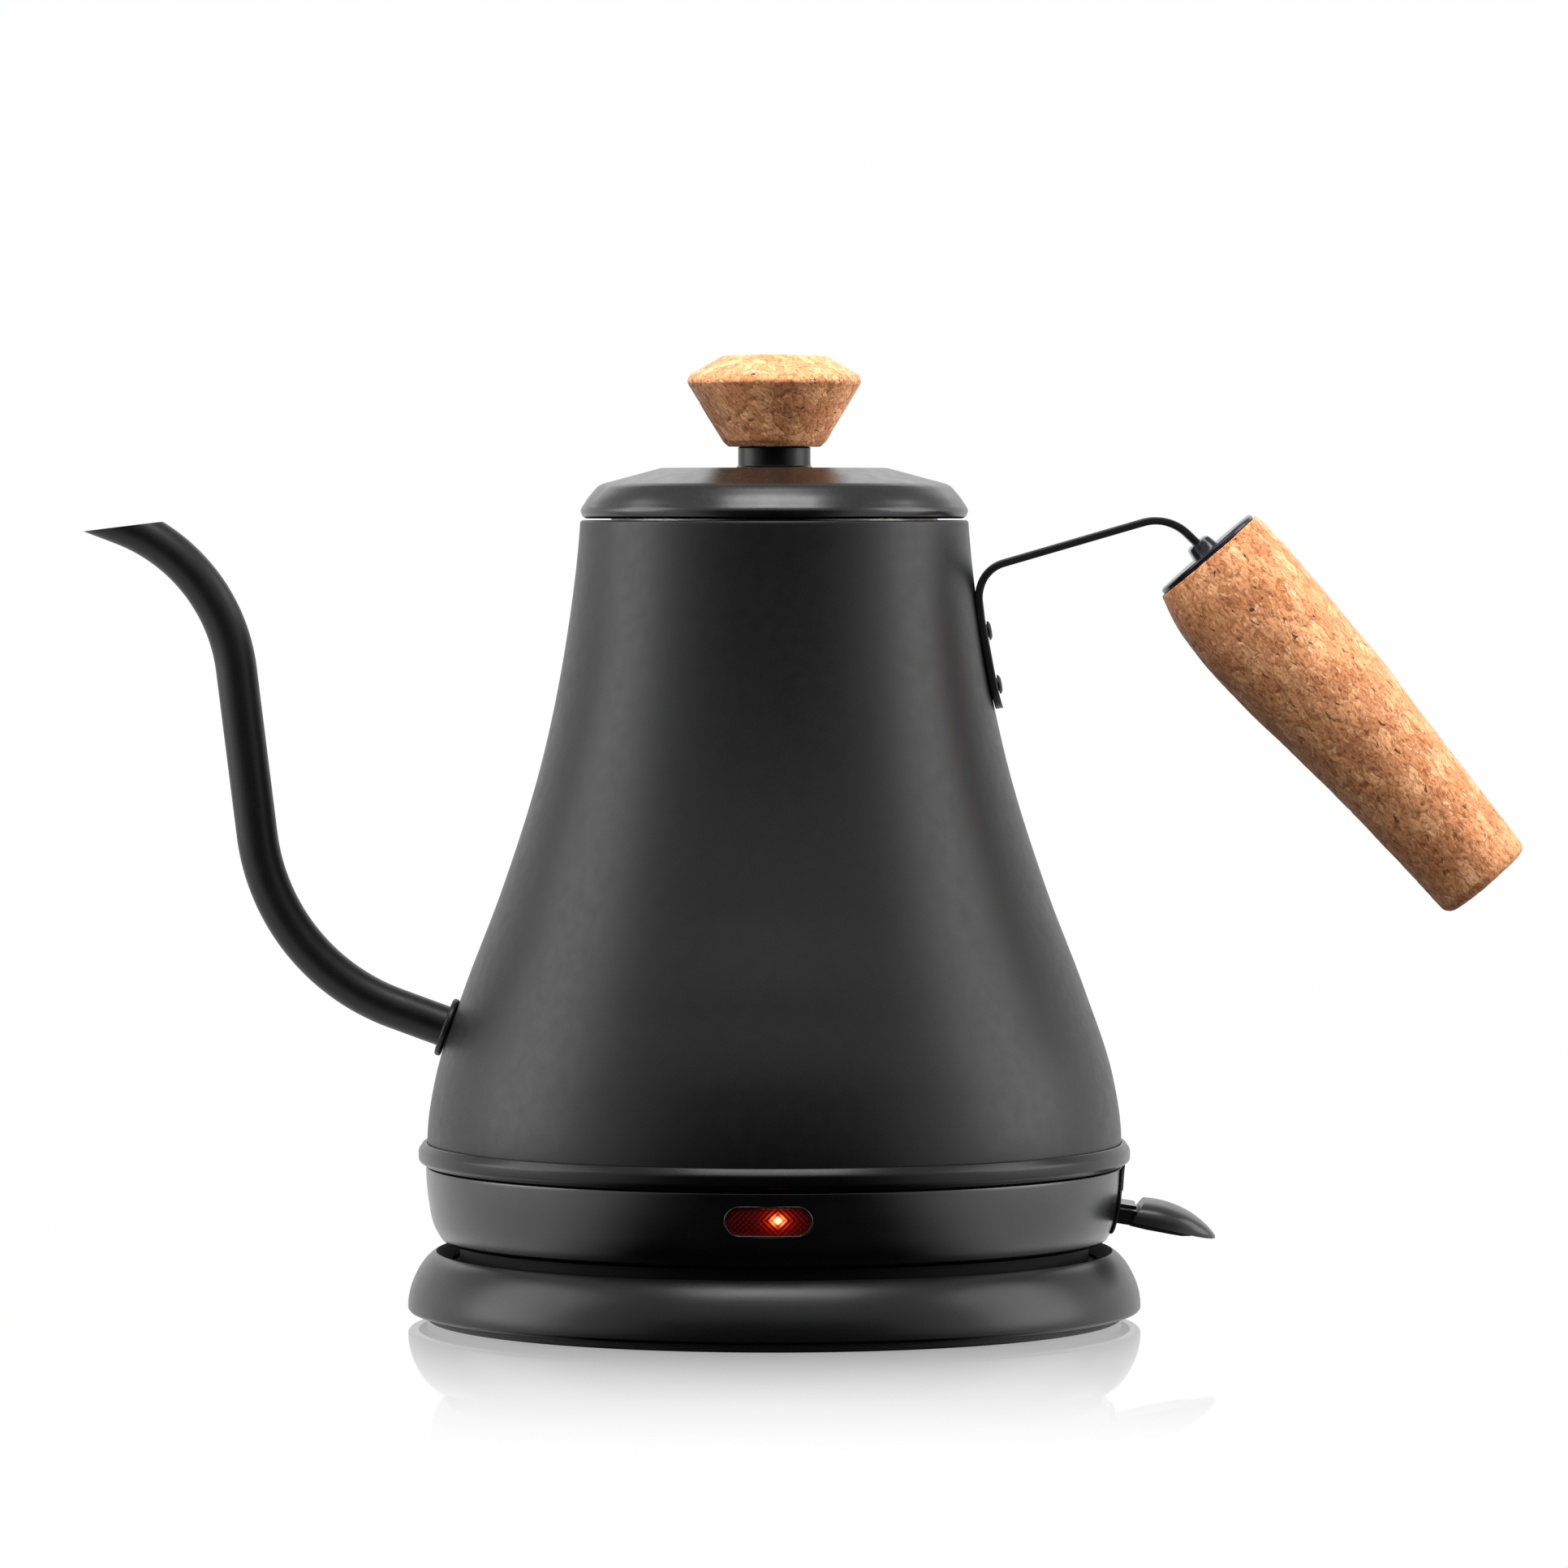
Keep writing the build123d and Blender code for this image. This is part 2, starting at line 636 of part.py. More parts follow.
def along_lever(distance, height):
    """A point beside the lever's centre line, from its pivot, in the XZ plane at rest."""
    tilt = math.radians(-LEVER_TILT)
    return (
        pivot_x + distance * math.cos(tilt) - height * math.sin(tilt),
        pivot_z + distance * math.sin(tilt) + height * math.cos(tilt),
    )


with BuildPart() as switch_lever:
    with BuildSketch(Plane.XZ):
        Polygon(
            along_lever(-8.4, 0.8), along_lever(-8.4, -0.8), along_lever(-2, -1.25), along_lever(10.6, -1.25),
            along_lever(11.2, -2.3), along_lever(25.0, -1.9), along_lever(25.0, -1.3), along_lever(12, -0.33),
            along_lever(10.9, -0.33), along_lever(10.9, 1.25), along_lever(-2, 1.25), align=None,
        )
        with Locations(PIVOT):
            Circle(2.7)
        with Locations(PIVOT):
            Circle(PIN_R + 0.05, mode=Mode.SUBTRACT)
    extrude(amount=7, both=True)
    with BuildSketch(Plane.XZ):  # thin splash guard above the arm
        Polygon(
            along_lever(1.5, 1.9), along_lever(10.5, 1.75), along_lever(10.7, 2.05), along_lever(10.5, 2.35),
            along_lever(1.5, 2.6), align=None,
        )
    extrude(amount=6.6, both=True)
    with BuildSketch(Plane.YZ.offset(50)):  # narrow inner end
        with Locations((8, 24), (-8, 24)):
            Rectangle(10, 8)
    extrude(amount=8.5, mode=Mode.SUBTRACT)
write(switch_lever, "switch_lever")

with BuildPart() as lever_paddle:
    with BuildSketch(Plane.XZ):
        with BuildLine():
            top = Spline(
                [(76.7, 24.6), (82.6, 23.35), (87.9, 20.5), (91.4, 17.1)], tangents=[(1, 0.05), (0.55, -1)]
            )
            under = ThreePointArc(top @ 1, (90.2, 16.85), (88.2, 17.1))
            Polyline(under @ 1, (88.0, 17.6), along_lever(11.3, -1.0), along_lever(11.0, 1.6), top @ 0)
        make_face()
    extrude(amount=9.5, both=True)
    with BuildSketch(Plane.XY.offset(10)):  # rounded tongue in plan
        with BuildLine():
            Polyline((79.0, 9.5), (70, 9.5), (70, -9.5), (79.0, -9.5))
            Spline(
                [(79.0, -9.5), (87.5, -6.6), (91.6, 0), (87.5, 6.6), (79.0, 9.5)], tangents=[(1, 0), (-1, 0)]
            )
        make_face()
    extrude(amount=20, mode=Mode.INTERSECT)
    with BuildSketch(Plane.XZ):  # pocket that takes the lever's tongue
        Polygon(
            along_lever(10.0, -0.28), along_lever(12.1, -0.28), along_lever(25.2, -1.25),
            along_lever(25.2, -4), along_lever(10.0, -4), align=None,
        )
    extrude(amount=7.1, both=True, mode=Mode.SUBTRACT)
write(lever_paddle, "lever_paddle")

with BuildPart() as trip_plunger:
    with BuildSketch(Plane.XY.offset(19.4)):
        with Locations((53.7, 0)):
            Rectangle(4.6, 5.0)
    extrude(amount=11.4)
    with BuildSketch(Plane.XZ):  # fork round the lever's inner end
        with Locations((55.6, 24.1)):
            Rectangle(4.6, 3.0)
    extrude(amount=4, both=True, mode=Mode.SUBTRACT)
write(trip_plunger, "trip_plunger")

# ---------------------------------------------------------------- handle
slope = math.radians(GRIP_SLOPE)
grip_dir = Vector(math.cos(slope), 0, -math.sin(slope))
cap_centre = Vector(GRIP_AT[0], 0, GRIP_AT[1])


def grip_plane(distance, sideways=0.0):
    """A plane across the grip's axis, its x along Y and its y up and outwards."""
    plane = Plane(origin=cap_centre + grip_dir * distance, x_dir=(0, 1, 0), z_dir=grip_dir)
    return Plane(origin=plane.from_local_coords((0, sideways, 0)), x_dir=(0, 1, 0), z_dir=grip_dir)


def cross_plane(distance):
    """A plane through the grip's axis, facing up and outwards, for the pin across the tang."""
    facing = (math.sin(slope), 0, math.cos(slope))
    return Plane(origin=cap_centre + grip_dir * distance, x_dir=(0, 1, 0), z_dir=facing)


# Corners of the strap's centre line in the XZ plane: up the cone, out over the hand, and down into the grip.
STRAP_LINE = [(46.62, 126.5), (44.92, 135.4), (43.5, 143.0), (41.46, 154.8), (81.35, 166.42)]
STRAP_BENDS = (60, 60, 6.9, 9.4)
TANG_END = 26.0
PIN_AT = 15.0


with BuildPart() as handle_strap:
    with BuildLine():
        strap_path = FilletPolyline(
            *[(x, 0, z) for x, z in STRAP_LINE], tuple(cap_centre - grip_dir), radius=STRAP_BENDS
        )
    with BuildSketch(Plane(origin=strap_path @ 0, x_dir=(0, 1, 0), z_dir=strap_path % 0)):
        Rectangle(STRAP_W, STRAP_T)
    sweep(path=strap_path)
    with BuildSketch(grip_plane(-1.0)):
        Rectangle(TANG_W, STRAP_T)
    extrude(amount=TANG_END + 1)
    low_edges = handle_strap.edges().filter_by(lambda e: abs(e.length - STRAP_T) < 0.01).group_by(Axis.Z)[0]
    fillet(low_edges, 5.2)
    for height, tilt, _, _ in RIVETS:
        with BuildSketch(rivet_plane(height, tilt)):
            Circle(1.45)
        extrude(amount=14, mode=Mode.SUBTRACT)
    with BuildSketch(cross_plane(PIN_AT)):
        Circle(1.25)
    extrude(amount=6, both=True, mode=Mode.SUBTRACT)
write(handle_strap, "handle_strap")

with BuildPart() as strap_rivets:
    for height, tilt, start, seat in RIVETS:
        with BuildSketch(rivet_plane(height, tilt, start)):
            Circle(2.6)
        extrude(amount=0.7)
        with BuildSketch(rivet_plane(height, tilt, start)):
            Circle(1.4)
        extrude(amount=seat - start + 0.3)
        with BuildSketch(rivet_plane(height, tilt, seat)):
            Circle(2.0)
        extrude(amount=0.55)
    fillet(strap_rivets.edges().filter_by(GeomType.CIRCLE).filter_by(lambda e: e.radius > 1.9), 0.25)
write(strap_rivets, "strap_rivets")

with BuildPart() as handle_end_cap:
    with BuildSketch(grip_plane(0)):
        Circle(CAP_R)
    extrude(amount=CAP_T)
    fillet(handle_end_cap.edges(), 0.45)
    with BuildSketch(grip_plane(0)):
        RectangleRounded(17.0, 5.8, 2.7)
    extrude(amount=-2.6, taper=12)
    with BuildSketch(grip_plane(-3)):  # pocket for the strap's shoulders
        Rectangle(STRAP_W + 0.2, STRAP_T + 0.2)
    extrude(amount=2.05, mode=Mode.SUBTRACT)
    with BuildSketch(grip_plane(-3)):
        Rectangle(TANG_W + 0.2, STRAP_T + 0.2)
    extrude(amount=6, mode=Mode.SUBTRACT)
write(handle_end_cap, "handle_end_cap")

with BuildPart() as grip_core:
    with BuildSketch(grip_plane(CAP_T + 0.05)):
        Circle(SPIGOT_R)
    extrude(amount=60)
    chamfer(grip_core.edges().filter_by(GeomType.CIRCLE), 0.5)
    with BuildSketch(grip_plane(0)):
        Rectangle(TANG_W + 0.2, STRAP_T + 0.1)
    extrude(amount=TANG_END + 0.5, mode=Mode.SUBTRACT)
    with BuildSketch(cross_plane(PIN_AT)):
        Circle(1.25)
    extrude(amount=8, both=True, mode=Mode.SUBTRACT)
write(grip_core, "grip_core")

with BuildPart() as tang_pin:
    with BuildSketch(cross_plane(PIN_AT)):
        Circle(1.2)
    extrude(amount=5.4, both=True)
    chamfer(tang_pin.edges().filter_by(GeomType.CIRCLE), 0.2)
write(tang_pin, "tang_pin")

# Along the grip: distance from the cap, radius, and how far the centre is off the axis.
GRIP_STATIONS = [
    (1.2, 12.7, 0.0), (8.0, 13.9, -0.65), (18.0, 14.35, -1.0), (30.0, 14.05, -0.8), (43.0, 13.28, -0.27),
    (57.0, 12.21, -0.21), (73.0, 11.36, -0.16), (GRIP_LEN, 10.6, -0.28),
]
with BuildPart() as cork_grip:
    for distance, radius, aside in GRIP_STATIONS:
        with BuildSketch(grip_plane(distance, aside)):
            Circle(radius)
    loft()
    fillet(cork_grip.faces().filter_by(GeomType.PLANE).sort_by(Axis.Z)[0].edges(), 4.2)
    with BuildSketch(grip_plane(0)):
        Circle(SPIGOT_R + 0.05)
    extrude(amount=62, mode=Mode.SUBTRACT)
write(cork_grip, "cork_grip")

# ---------------------------------------------------------------- lid
# Radius and height of the lid's outside, from the seam to the flat top.
LID_POINTS = [(40.1, 167.3), (39.35, 168.8), (37.6, 171.2), (36.2, 172.6)]
with BuildPart() as lid_shell:
    with BuildSketch(Plane.XZ):
        with BuildLine():
            Polyline((23.4, LID_TOP_Z), (2.0, LID_TOP_Z), (2.0, LID_TOP_Z - LID_T), (23.0, LID_TOP_Z - LID_T))
            Polyline((23.0, LID_TOP_Z - LID_T), (34.9, 172.35), (38.5, 168.0), (38.4, 166.6), (37.4, 166.6))
            Polyline((37.4, 166.6), (37.4, 165.75), (38.9, 165.75))
            ThreePointArc((38.9, 165.75), (39.85, 166.3), LID_POINTS[0])
            side = Spline(LID_POINTS, tangents=[(-0.1, 1), (-1, 0.62)])
            crest = TangentArc(side @ 1, (34.6, 173.25), tangent=side % 1)
            Line(crest @ 1, (23.4, LID_TOP_Z))
        make_face()
    revolve(axis=Axis.Z)
    with BuildSketch(Plane.XY.offset(170)):  # steam vent
        with Locations((-28.4, 0)):
            SlotOverall(3.2, 1.5, rotation=90)
    extrude(amount=10, mode=Mode.SUBTRACT)
write(lid_shell, "lid_shell")

with BuildPart() as lid_cup:
    with BuildSketch(Plane.XZ):
        ring_faces([
            (2.05, 35.6, CUP_Z, CUP_Z + 0.8),
            (33.0, 35.6, CUP_Z, CUP_Z + 1.6),
            (33.0, 33.8, CUP_Z, 166.5),
            (33.0, 35.6, 163.0, 163.8),
            (33.0, 37.2, 165.75, 166.5),
            (2.05, 4.0, CUP_Z, LID_TOP_Z - LID_T - 0.05),
        ])
    revolve(axis=Axis.Z)
    with BuildSketch(Plane.XY.offset(CUP_Z)):  # steam passages in the cup's floor
        with PolarLocations(22, 5, start_angle=0):
            Circle(1.8)
    extrude(amount=0.8, mode=Mode.SUBTRACT)
write(lid_cup, "lid_cup")

with BuildPart() as lid_gasket:
    with BuildSketch(Plane.XZ):
        ring_faces([(34.1, 35.7, 159.4, 162.7), (35.7, 36.27, 161.9, 162.7), (35.7, 36.27, 159.4, 160.2)])
    revolve(axis=Axis.Z)
write(lid_gasket, "lid_gasket")

with BuildPart() as lid_stem:
    with BuildSketch(Plane.XZ):
        ring_faces([(2.05, 7.5, LID_TOP_Z + 0.03, 180.55)])
    revolve(axis=Axis.Z)
    fillet(lid_stem.edges().filter_by(lambda e: e.geom_type == GeomType.CIRCLE and e.radius > 7), 0.35)
write(lid_stem, "lid_stem")

with BuildPart() as lid_knob:
    with BuildSketch(Plane.XZ):
        Polygon(
            (0, 180.6), (9.5, 180.6), (10.6, 181.7), (18.05, 193.9), (17.6, 195.1), (10.6, 199.4),
            (9.9, 199.8), (0, 199.8), align=None,
        )
    revolve(axis=Axis.Z)
    fillet(lid_knob.edges().filter_by(lambda e: e.geom_type == GeomType.CIRCLE and e.radius > 17), 0.8)
    with BuildSketch(Plane.XY.offset(180)):
        Circle(3.55)
    extrude(amount=11.2, mode=Mode.SUBTRACT)
write(lid_knob, "lid_knob")

with BuildPart() as knob_insert:
    with BuildSketch(Plane.XZ):
        ring_faces([(2.0, 3.5, 180.65, 191.0), (2.0, 3.2, 184.0, 185.0)])
    revolve(axis=Axis.Z)
write(knob_insert, "knob_insert")

with BuildPart() as knob_screw:
    with BuildSketch(Plane.XZ):
        ring_faces([(0, 4.2, CUP_Z - 1.5, CUP_Z - 0.05), (0, SCREW_R, CUP_Z - 0.1, 190.0)])
    revolve(axis=Axis.Z)
    fillet(knob_screw.edges().group_by(Axis.Z)[0], 0.7)
    with BuildSketch(Plane.XY.offset(CUP_Z - 1.5)):
        Rectangle(5.0, 0.9)
        Rectangle(0.9, 5.0)
    extrude(amount=0.8, mode=Mode.SUBTRACT)
write(knob_screw, "knob_screw")
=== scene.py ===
"""Looks of the electric gooseneck kettle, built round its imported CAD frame.

Everything is in the frame's metres; MM turns a size in millimetres into one. Outlines and routes are
written in millimetres. Z runs up the kettle's axis, the spout points to -X, the handle and the switch
lever to +X, and the pilot lamp looks to -Y. A turned piece's outline is a list of (radius, height).
"""

import math

import bmesh
import bpy
from mathutils import Matrix, Vector, noise


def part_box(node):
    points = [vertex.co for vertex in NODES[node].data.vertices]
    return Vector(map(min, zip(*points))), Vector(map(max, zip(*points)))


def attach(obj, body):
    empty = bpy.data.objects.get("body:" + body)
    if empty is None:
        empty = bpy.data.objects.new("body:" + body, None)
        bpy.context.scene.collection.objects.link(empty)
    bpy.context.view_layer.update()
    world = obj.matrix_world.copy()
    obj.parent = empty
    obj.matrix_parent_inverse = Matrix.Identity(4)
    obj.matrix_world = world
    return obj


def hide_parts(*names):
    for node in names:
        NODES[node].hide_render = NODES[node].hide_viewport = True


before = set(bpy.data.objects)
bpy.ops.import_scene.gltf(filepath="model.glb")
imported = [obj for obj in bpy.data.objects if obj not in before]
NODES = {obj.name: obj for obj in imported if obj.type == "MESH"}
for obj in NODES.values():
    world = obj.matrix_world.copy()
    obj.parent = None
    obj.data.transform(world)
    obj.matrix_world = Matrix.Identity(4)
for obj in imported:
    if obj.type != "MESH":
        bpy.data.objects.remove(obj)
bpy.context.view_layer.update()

MM = 0.001
TURNS = 224  # steps round a turned piece
SHARP = 34  # corners sharper than this, in degrees, stay crisp
RIM_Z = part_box("body_shell")[1].z
LAMP_Z = (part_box("lamp_lens")[0].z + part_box("lamp_lens")[1].z) / 2


# ---------------------------------------- outlines
def arc_at(before, corner, after, radius, steps):
    """Points of the arc that rounds one corner of a flat outline."""
    corner = Vector(corner)
    to_before = Vector(before) - corner
    to_after = Vector(after) - corner
    half = to_before.angle(to_after) / 2
    reach = radius / math.tan(half)
    start = corner + to_before.normalized() * reach
    end = corner + to_after.normalized() * reach
    inward = (to_before.normalized() + to_after.normalized()).normalized()
    middle = corner + inward * radius / math.sin(half)
    first = start - middle
    last = end - middle
    turn = math.atan2(first.x * last.y - first.y * last.x, first.dot(last))
    return [middle + Matrix.Rotation(turn * i / steps, 2) @ first for i in range(steps + 1)]


def rounded(corners, closed=True, steps=5):
    """An outline through corners (across, up) or (across, up, radius); a radius rounds its corner."""
    count = len(corners)
    points = []
    for i, corner in enumerate(corners):
        at_end = not closed and i in (0, count - 1)
        if len(corner) == 2 or at_end:
            points.append(Vector(corner[:2]))
            continue
        here = Vector(corner[:2])
        before = Vector(corners[i - 1][:2])
        after = Vector(corners[(i + 1) % count][:2])
        half = (before - here).angle(after - here) / 2
        room = 0.49 * min((before - here).length, (after - here).length)
        points += arc_at(before, here, after, min(corner[2], room * math.tan(half)), steps)
    return points


def through(points, start, end, steps):
    """A smooth line through points, leaving along start and arriving along end."""
    points = [Vector(p) for p in points]
    runs = [(b - a).length for a, b in zip(points, points[1:])]
    slopes = [Vector(start).normalized()]
    for i in range(1, len(points) - 1):
        back = (points[i] - points[i - 1]) / runs[i - 1]
        ahead = (points[i + 1] - points[i]) / runs[i]
        slopes.append((back * runs[i] + ahead * runs[i - 1]) / (runs[i] + runs[i - 1]))
    slopes.append(Vector(end).normalized())
    line = []
    for i, run in enumerate(runs):
        for k in range(steps):
            t = k / steps
            line.append(
                points[i] * (2 * t**3 - 3 * t**2 + 1)
                + slopes[i] * run * (t**3 - 2 * t**2 + t)
                + points[i + 1] * (3 * t**2 - 2 * t**3)
                + slopes[i + 1] * run * (t**3 - t**2)
            )
    return line + [points[-1]]


# ---------------------------------------- meshes
def piece(bm, name, body, material, replaces=(), sharp=SHARP):
    """Turns a bmesh into a finished piece: smooth faces, sharp corners, its material and its body."""
    bmesh.ops.recalc_face_normals(bm, faces=bm.faces)
    for face in bm.faces:
        face.smooth = True
    for edge in bm.edges:
        if len(edge.link_faces) == 2:
            edge.smooth = edge.calc_face_angle(0) < math.radians(sharp)
    mesh = bpy.data.meshes.new(name)
    bm.to_mesh(mesh)
    bm.free()
    made = bpy.data.objects.new(name, mesh)
    bpy.context.scene.collection.objects.link(made)
    made.data.materials.append(material)
    if body:
        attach(made, body)
    if replaces:
        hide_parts(*replaces)
    return made


def turned(outline, place=Matrix.Identity(4), turns=TURNS, closed=True, aside=None):
    """A bmesh turned from an outline in millimetres; aside shifts each ring's centre along local y."""
    bm = bmesh.new()
    rings = []
    for i, point in enumerate(outline):
        r, z = point * MM
        off = aside[i] if aside else 0.0
        if r < 1e-7:
            rings.append([bm.verts.new(place @ Vector((0, off, z)))])
            continue
        ring = []
        for k in range(turns):
            angle = 2 * math.pi * k / turns
            at = Vector((r * math.cos(angle), r * math.sin(angle) + off, z))
            ring.append(bm.verts.new(place @ at))
        rings.append(ring)
    followers = rings[1:] + rings[:1] if closed else rings[1:]
    for low, high in zip(rings, followers):
        for k in range(turns):
            n = (k + 1) % turns
            corners = [low[k % len(low)], low[n % len(low)], high[n % len(high)], high[k % len(high)]]
            corners = list(dict.fromkeys(corners))
            if len(corners) > 2:
                bm.faces.new(corners)
    return bm


def add_turned(bm, outline, place, **settings):
    """Adds a small turned body to another bmesh."""
    made = turned(outline, place, turns=48, **settings)
    mesh = bpy.data.meshes.new("turned")
    made.to_mesh(mesh)
    made.free()
    bm.from_mesh(mesh)
    bpy.data.meshes.remove(mesh)


def bridge(bm, rings, across_steps):
    """Joins each ring of vertices to the next, all the way round."""
    for low, high in zip(rings, rings[1:]):
        for k in range(across_steps):
            n = (k + 1) % across_steps
            bm.faces.new((low[k], low[n], high[n], high[k]))


def bent(corners, radii, step=2.0):
    """A flat route of straight runs and arcs; step is the turn between its points, in degrees."""
    points = [Vector(corners[0])]
    for i, radius in enumerate(radii, start=1):
        back = Vector(corners[i - 1]) - Vector(corners[i])
        ahead = Vector(corners[i + 1]) - Vector(corners[i])
        steps = max(2, round((180 - math.degrees(back.angle(ahead))) / step))
        points += arc_at(corners[i - 1], corners[i], corners[i + 1], radius, steps)
    points.append(Vector(corners[-1]))
    return points


def cut(target, outline, depth):
    """Cuts a prism, an outline moved along depth, out of a finished piece."""
    bm = bmesh.new()
    near = [bm.verts.new(p) for p in outline]
    far = [bm.verts.new(p + depth) for p in outline]
    for k in range(len(near)):
        n = (k + 1) % len(near)
        bm.faces.new((near[k], near[n], far[n], far[k]))
    bm.faces.new(near)
    bm.faces.new(far)
    cutter = piece(bm, "cutter", None, target.data.materials[0])
    tool = target.modifiers.new("cut", "BOOLEAN")
    tool.operation = "DIFFERENCE"
    tool.object = cutter
    bpy.context.view_layer.update()
    evaluated = target.evaluated_get(bpy.context.evaluated_depsgraph_get())
    result = bpy.data.meshes.new_from_object(evaluated)
    target.modifiers.clear()
    target.data = result
    bpy.data.objects.remove(cutter)


def swept(bm, route, section, closed_ends=True):
    """Adds a section (out, across) swept along a route in the XZ plane; returns its rings."""
    rings = []
    for i, point in enumerate(route):
        ahead = route[min(i + 1, len(route) - 1)] - route[max(i - 1, 0)]
        ahead.normalize()
        out = Vector((-ahead.y, ahead.x))
        rings.append([bm.verts.new((point.x + out.x * u, v, point.y + out.y * u)) for u, v in section])
    bridge(bm, rings, len(section))
    if closed_ends:
        bm.faces.new(rings[0])
        bm.faces.new(rings[-1])
    return rings


def circle(radius, steps=56):
    """A circle's outline, to sweep along a route."""
    turns = [2 * math.pi * k / steps for k in range(steps)]
    return [(radius * math.cos(turn), radius * math.sin(turn)) for turn in turns]


def rounded_box(width, height, radius, steps=4):
    """A rectangle's outline (across width, up height) with rounded corners."""
    w, h = width / 2, height / 2
    corners = [(-w, -h, radius), (w, -h, radius), (w, h, radius), (-w, h, radius)]
    return [tuple(p) for p in rounded(corners, steps=steps)]


# ---------------------------------------- materials
class Nodes:
    """A node tree and a few helpers that add to it."""

    def __init__(self, tree):
        self.tree = tree

    def add(self, kind, **settings):
        node = self.tree.nodes.new(kind)
        for key, value in settings.items():
            if key in node.inputs:
                node.inputs[key].default_value = value
            else:
                setattr(node, key, value)
        return node

    def join(self, source, target):
        self.tree.links.new(source, target)

    def spread(self, source, low, high, to_low, to_high, kind="LINEAR"):
        """Maps low..high of a value to to_low..to_high, clamped."""
        node = self.add("ShaderNodeMapRange", interpolation_type=kind)
        ends = {"From Min": low, "From Max": high, "To Min": to_low, "To Max": to_high}
        for key, value in ends.items():
            node.inputs[key].default_value = value
        self.join(source, node.inputs["Value"])
        return node.outputs["Result"]

    def math(self, operation, first, second=0.0):
        node = self.add("ShaderNodeMath", operation=operation)
        self.join(first, node.inputs[0])
        if hasattr(second, "links"):
            self.join(second, node.inputs[1])
        else:
            node.inputs[1].default_value = second
        return node.outputs[0]


class Finish(Nodes):
    """A principled material with object coordinates."""

    def __init__(self, name, color, roughness, **sockets):
        self.material = bpy.data.materials.new(name)
        self.material.use_nodes = True
        super().__init__(self.material.node_tree)
        self.shader = self.tree.nodes["Principled BSDF"]
        self.shader.inputs["Base Color"].default_value = (*color, 1)
        self.shader.inputs["Roughness"].default_value = roughness
        for socket, value in sockets.items():
            self.shader.inputs[socket.replace("_", " ")].default_value = value
        self.place = self.add("ShaderNodeTexCoord").outputs["Object"]

    def feed(self, socket, source):
        """Joins a value to one of the shader's sockets."""
        self.join(source, self.shader.inputs[socket])

    def noise(self, scale, detail=2.0, roughness=0.5, distortion=0.0, place=None):
        node = self.add("ShaderNodeTexNoise", Scale=scale, Detail=detail)
        node.inputs["Roughness"].default_value = roughness
        node.inputs["Distortion"].default_value = distortion
        self.join(place or self.place, node.inputs["Vector"])
        return node.outputs["Fac"]

    def ramp(self, source, *stops):
        """A colour ramp of (position, (r, g, b)) stops."""
        node = self.add("ShaderNodeValToRGB")
        while len(node.color_ramp.elements) < len(stops):
            node.color_ramp.elements.new(0.5)
        for element, (position, color) in zip(node.color_ramp.elements, stops):
            element.position = position
            element.color = (*color, 1)
        self.join(source, node.inputs["Fac"])
        return node.outputs["Color"]

    def mix(self, factor, first, second, blend="MIX"):
        """Mixes two colours; factor, first and second are sockets or plain values."""
        node = self.add("ShaderNodeMix", data_type="RGBA", blend_type=blend)
        for index, value in ((0, factor), (6, first), (7, second)):
            if hasattr(value, "links"):
                self.join(value, node.inputs[index])
            elif isinstance(value, (int, float)):
                node.inputs[index].default_value = value
            else:
                node.inputs[index].default_value = (*value, 1)
        return node.outputs[2]

    def bump(self, height, strength, depth):
        """Adds a bump over whatever bump is already there; depth is in metres."""
        node = self.add("ShaderNodeBump", Strength=strength, Distance=depth)
        self.join(height, node.inputs["Height"])
        socket = self.shader.inputs["Normal"]
        if socket.links:
            self.join(socket.links[0].from_socket, node.inputs["Normal"])
        self.join(node.outputs["Normal"], socket)


def shade(color, factor, lift=0.0):
    """A colour made darker or lighter."""
    return [c * factor + lift for c in color]


def coat(name, color, roughness, grain=2600.0, depth=0.02 * MM, strength=0.5, **sockets):
    """Powder coat: near-black, with a fine orange-peel grain and faint light and dark flecks."""
    finish = Finish(name, color, roughness, **sockets)
    fine = finish.noise(grain, detail=2.0)
    broad = finish.noise(grain / 7, detail=3.0)
    fleck = finish.noise(grain * 1.6, detail=1.0)
    dark, light = shade(color, 0.75), shade(color, 1.35, 0.001)
    finish.feed("Base Color", finish.ramp(fleck, (0.3, dark), (0.55, color), (0.74, light)))
    finish.feed("Roughness", finish.spread(broad, 0.3, 0.7, roughness - 0.025, roughness + 0.035))
    finish.bump(fine, strength, depth)
    return finish.material


def plastic(name, color, roughness, grain=1900.0, depth=0.012 * MM, strength=0.35, **sockets):
    """Moulded plastic with a light spark-eroded texture and slightly uneven gloss."""
    finish = Finish(name, color, roughness, **sockets)
    fine = finish.noise(grain, detail=1.5)
    smudge = finish.noise(55.0, detail=4.0, roughness=0.6)
    finish.feed("Roughness", finish.spread(smudge, 0.3, 0.7, roughness - 0.03, roughness + 0.04))
    finish.feed("Base Color", finish.ramp(fine, (0.25, shade(color, 0.85)), (0.75, shade(color, 1.15))))
    finish.bump(fine, strength, depth)
    return finish.material


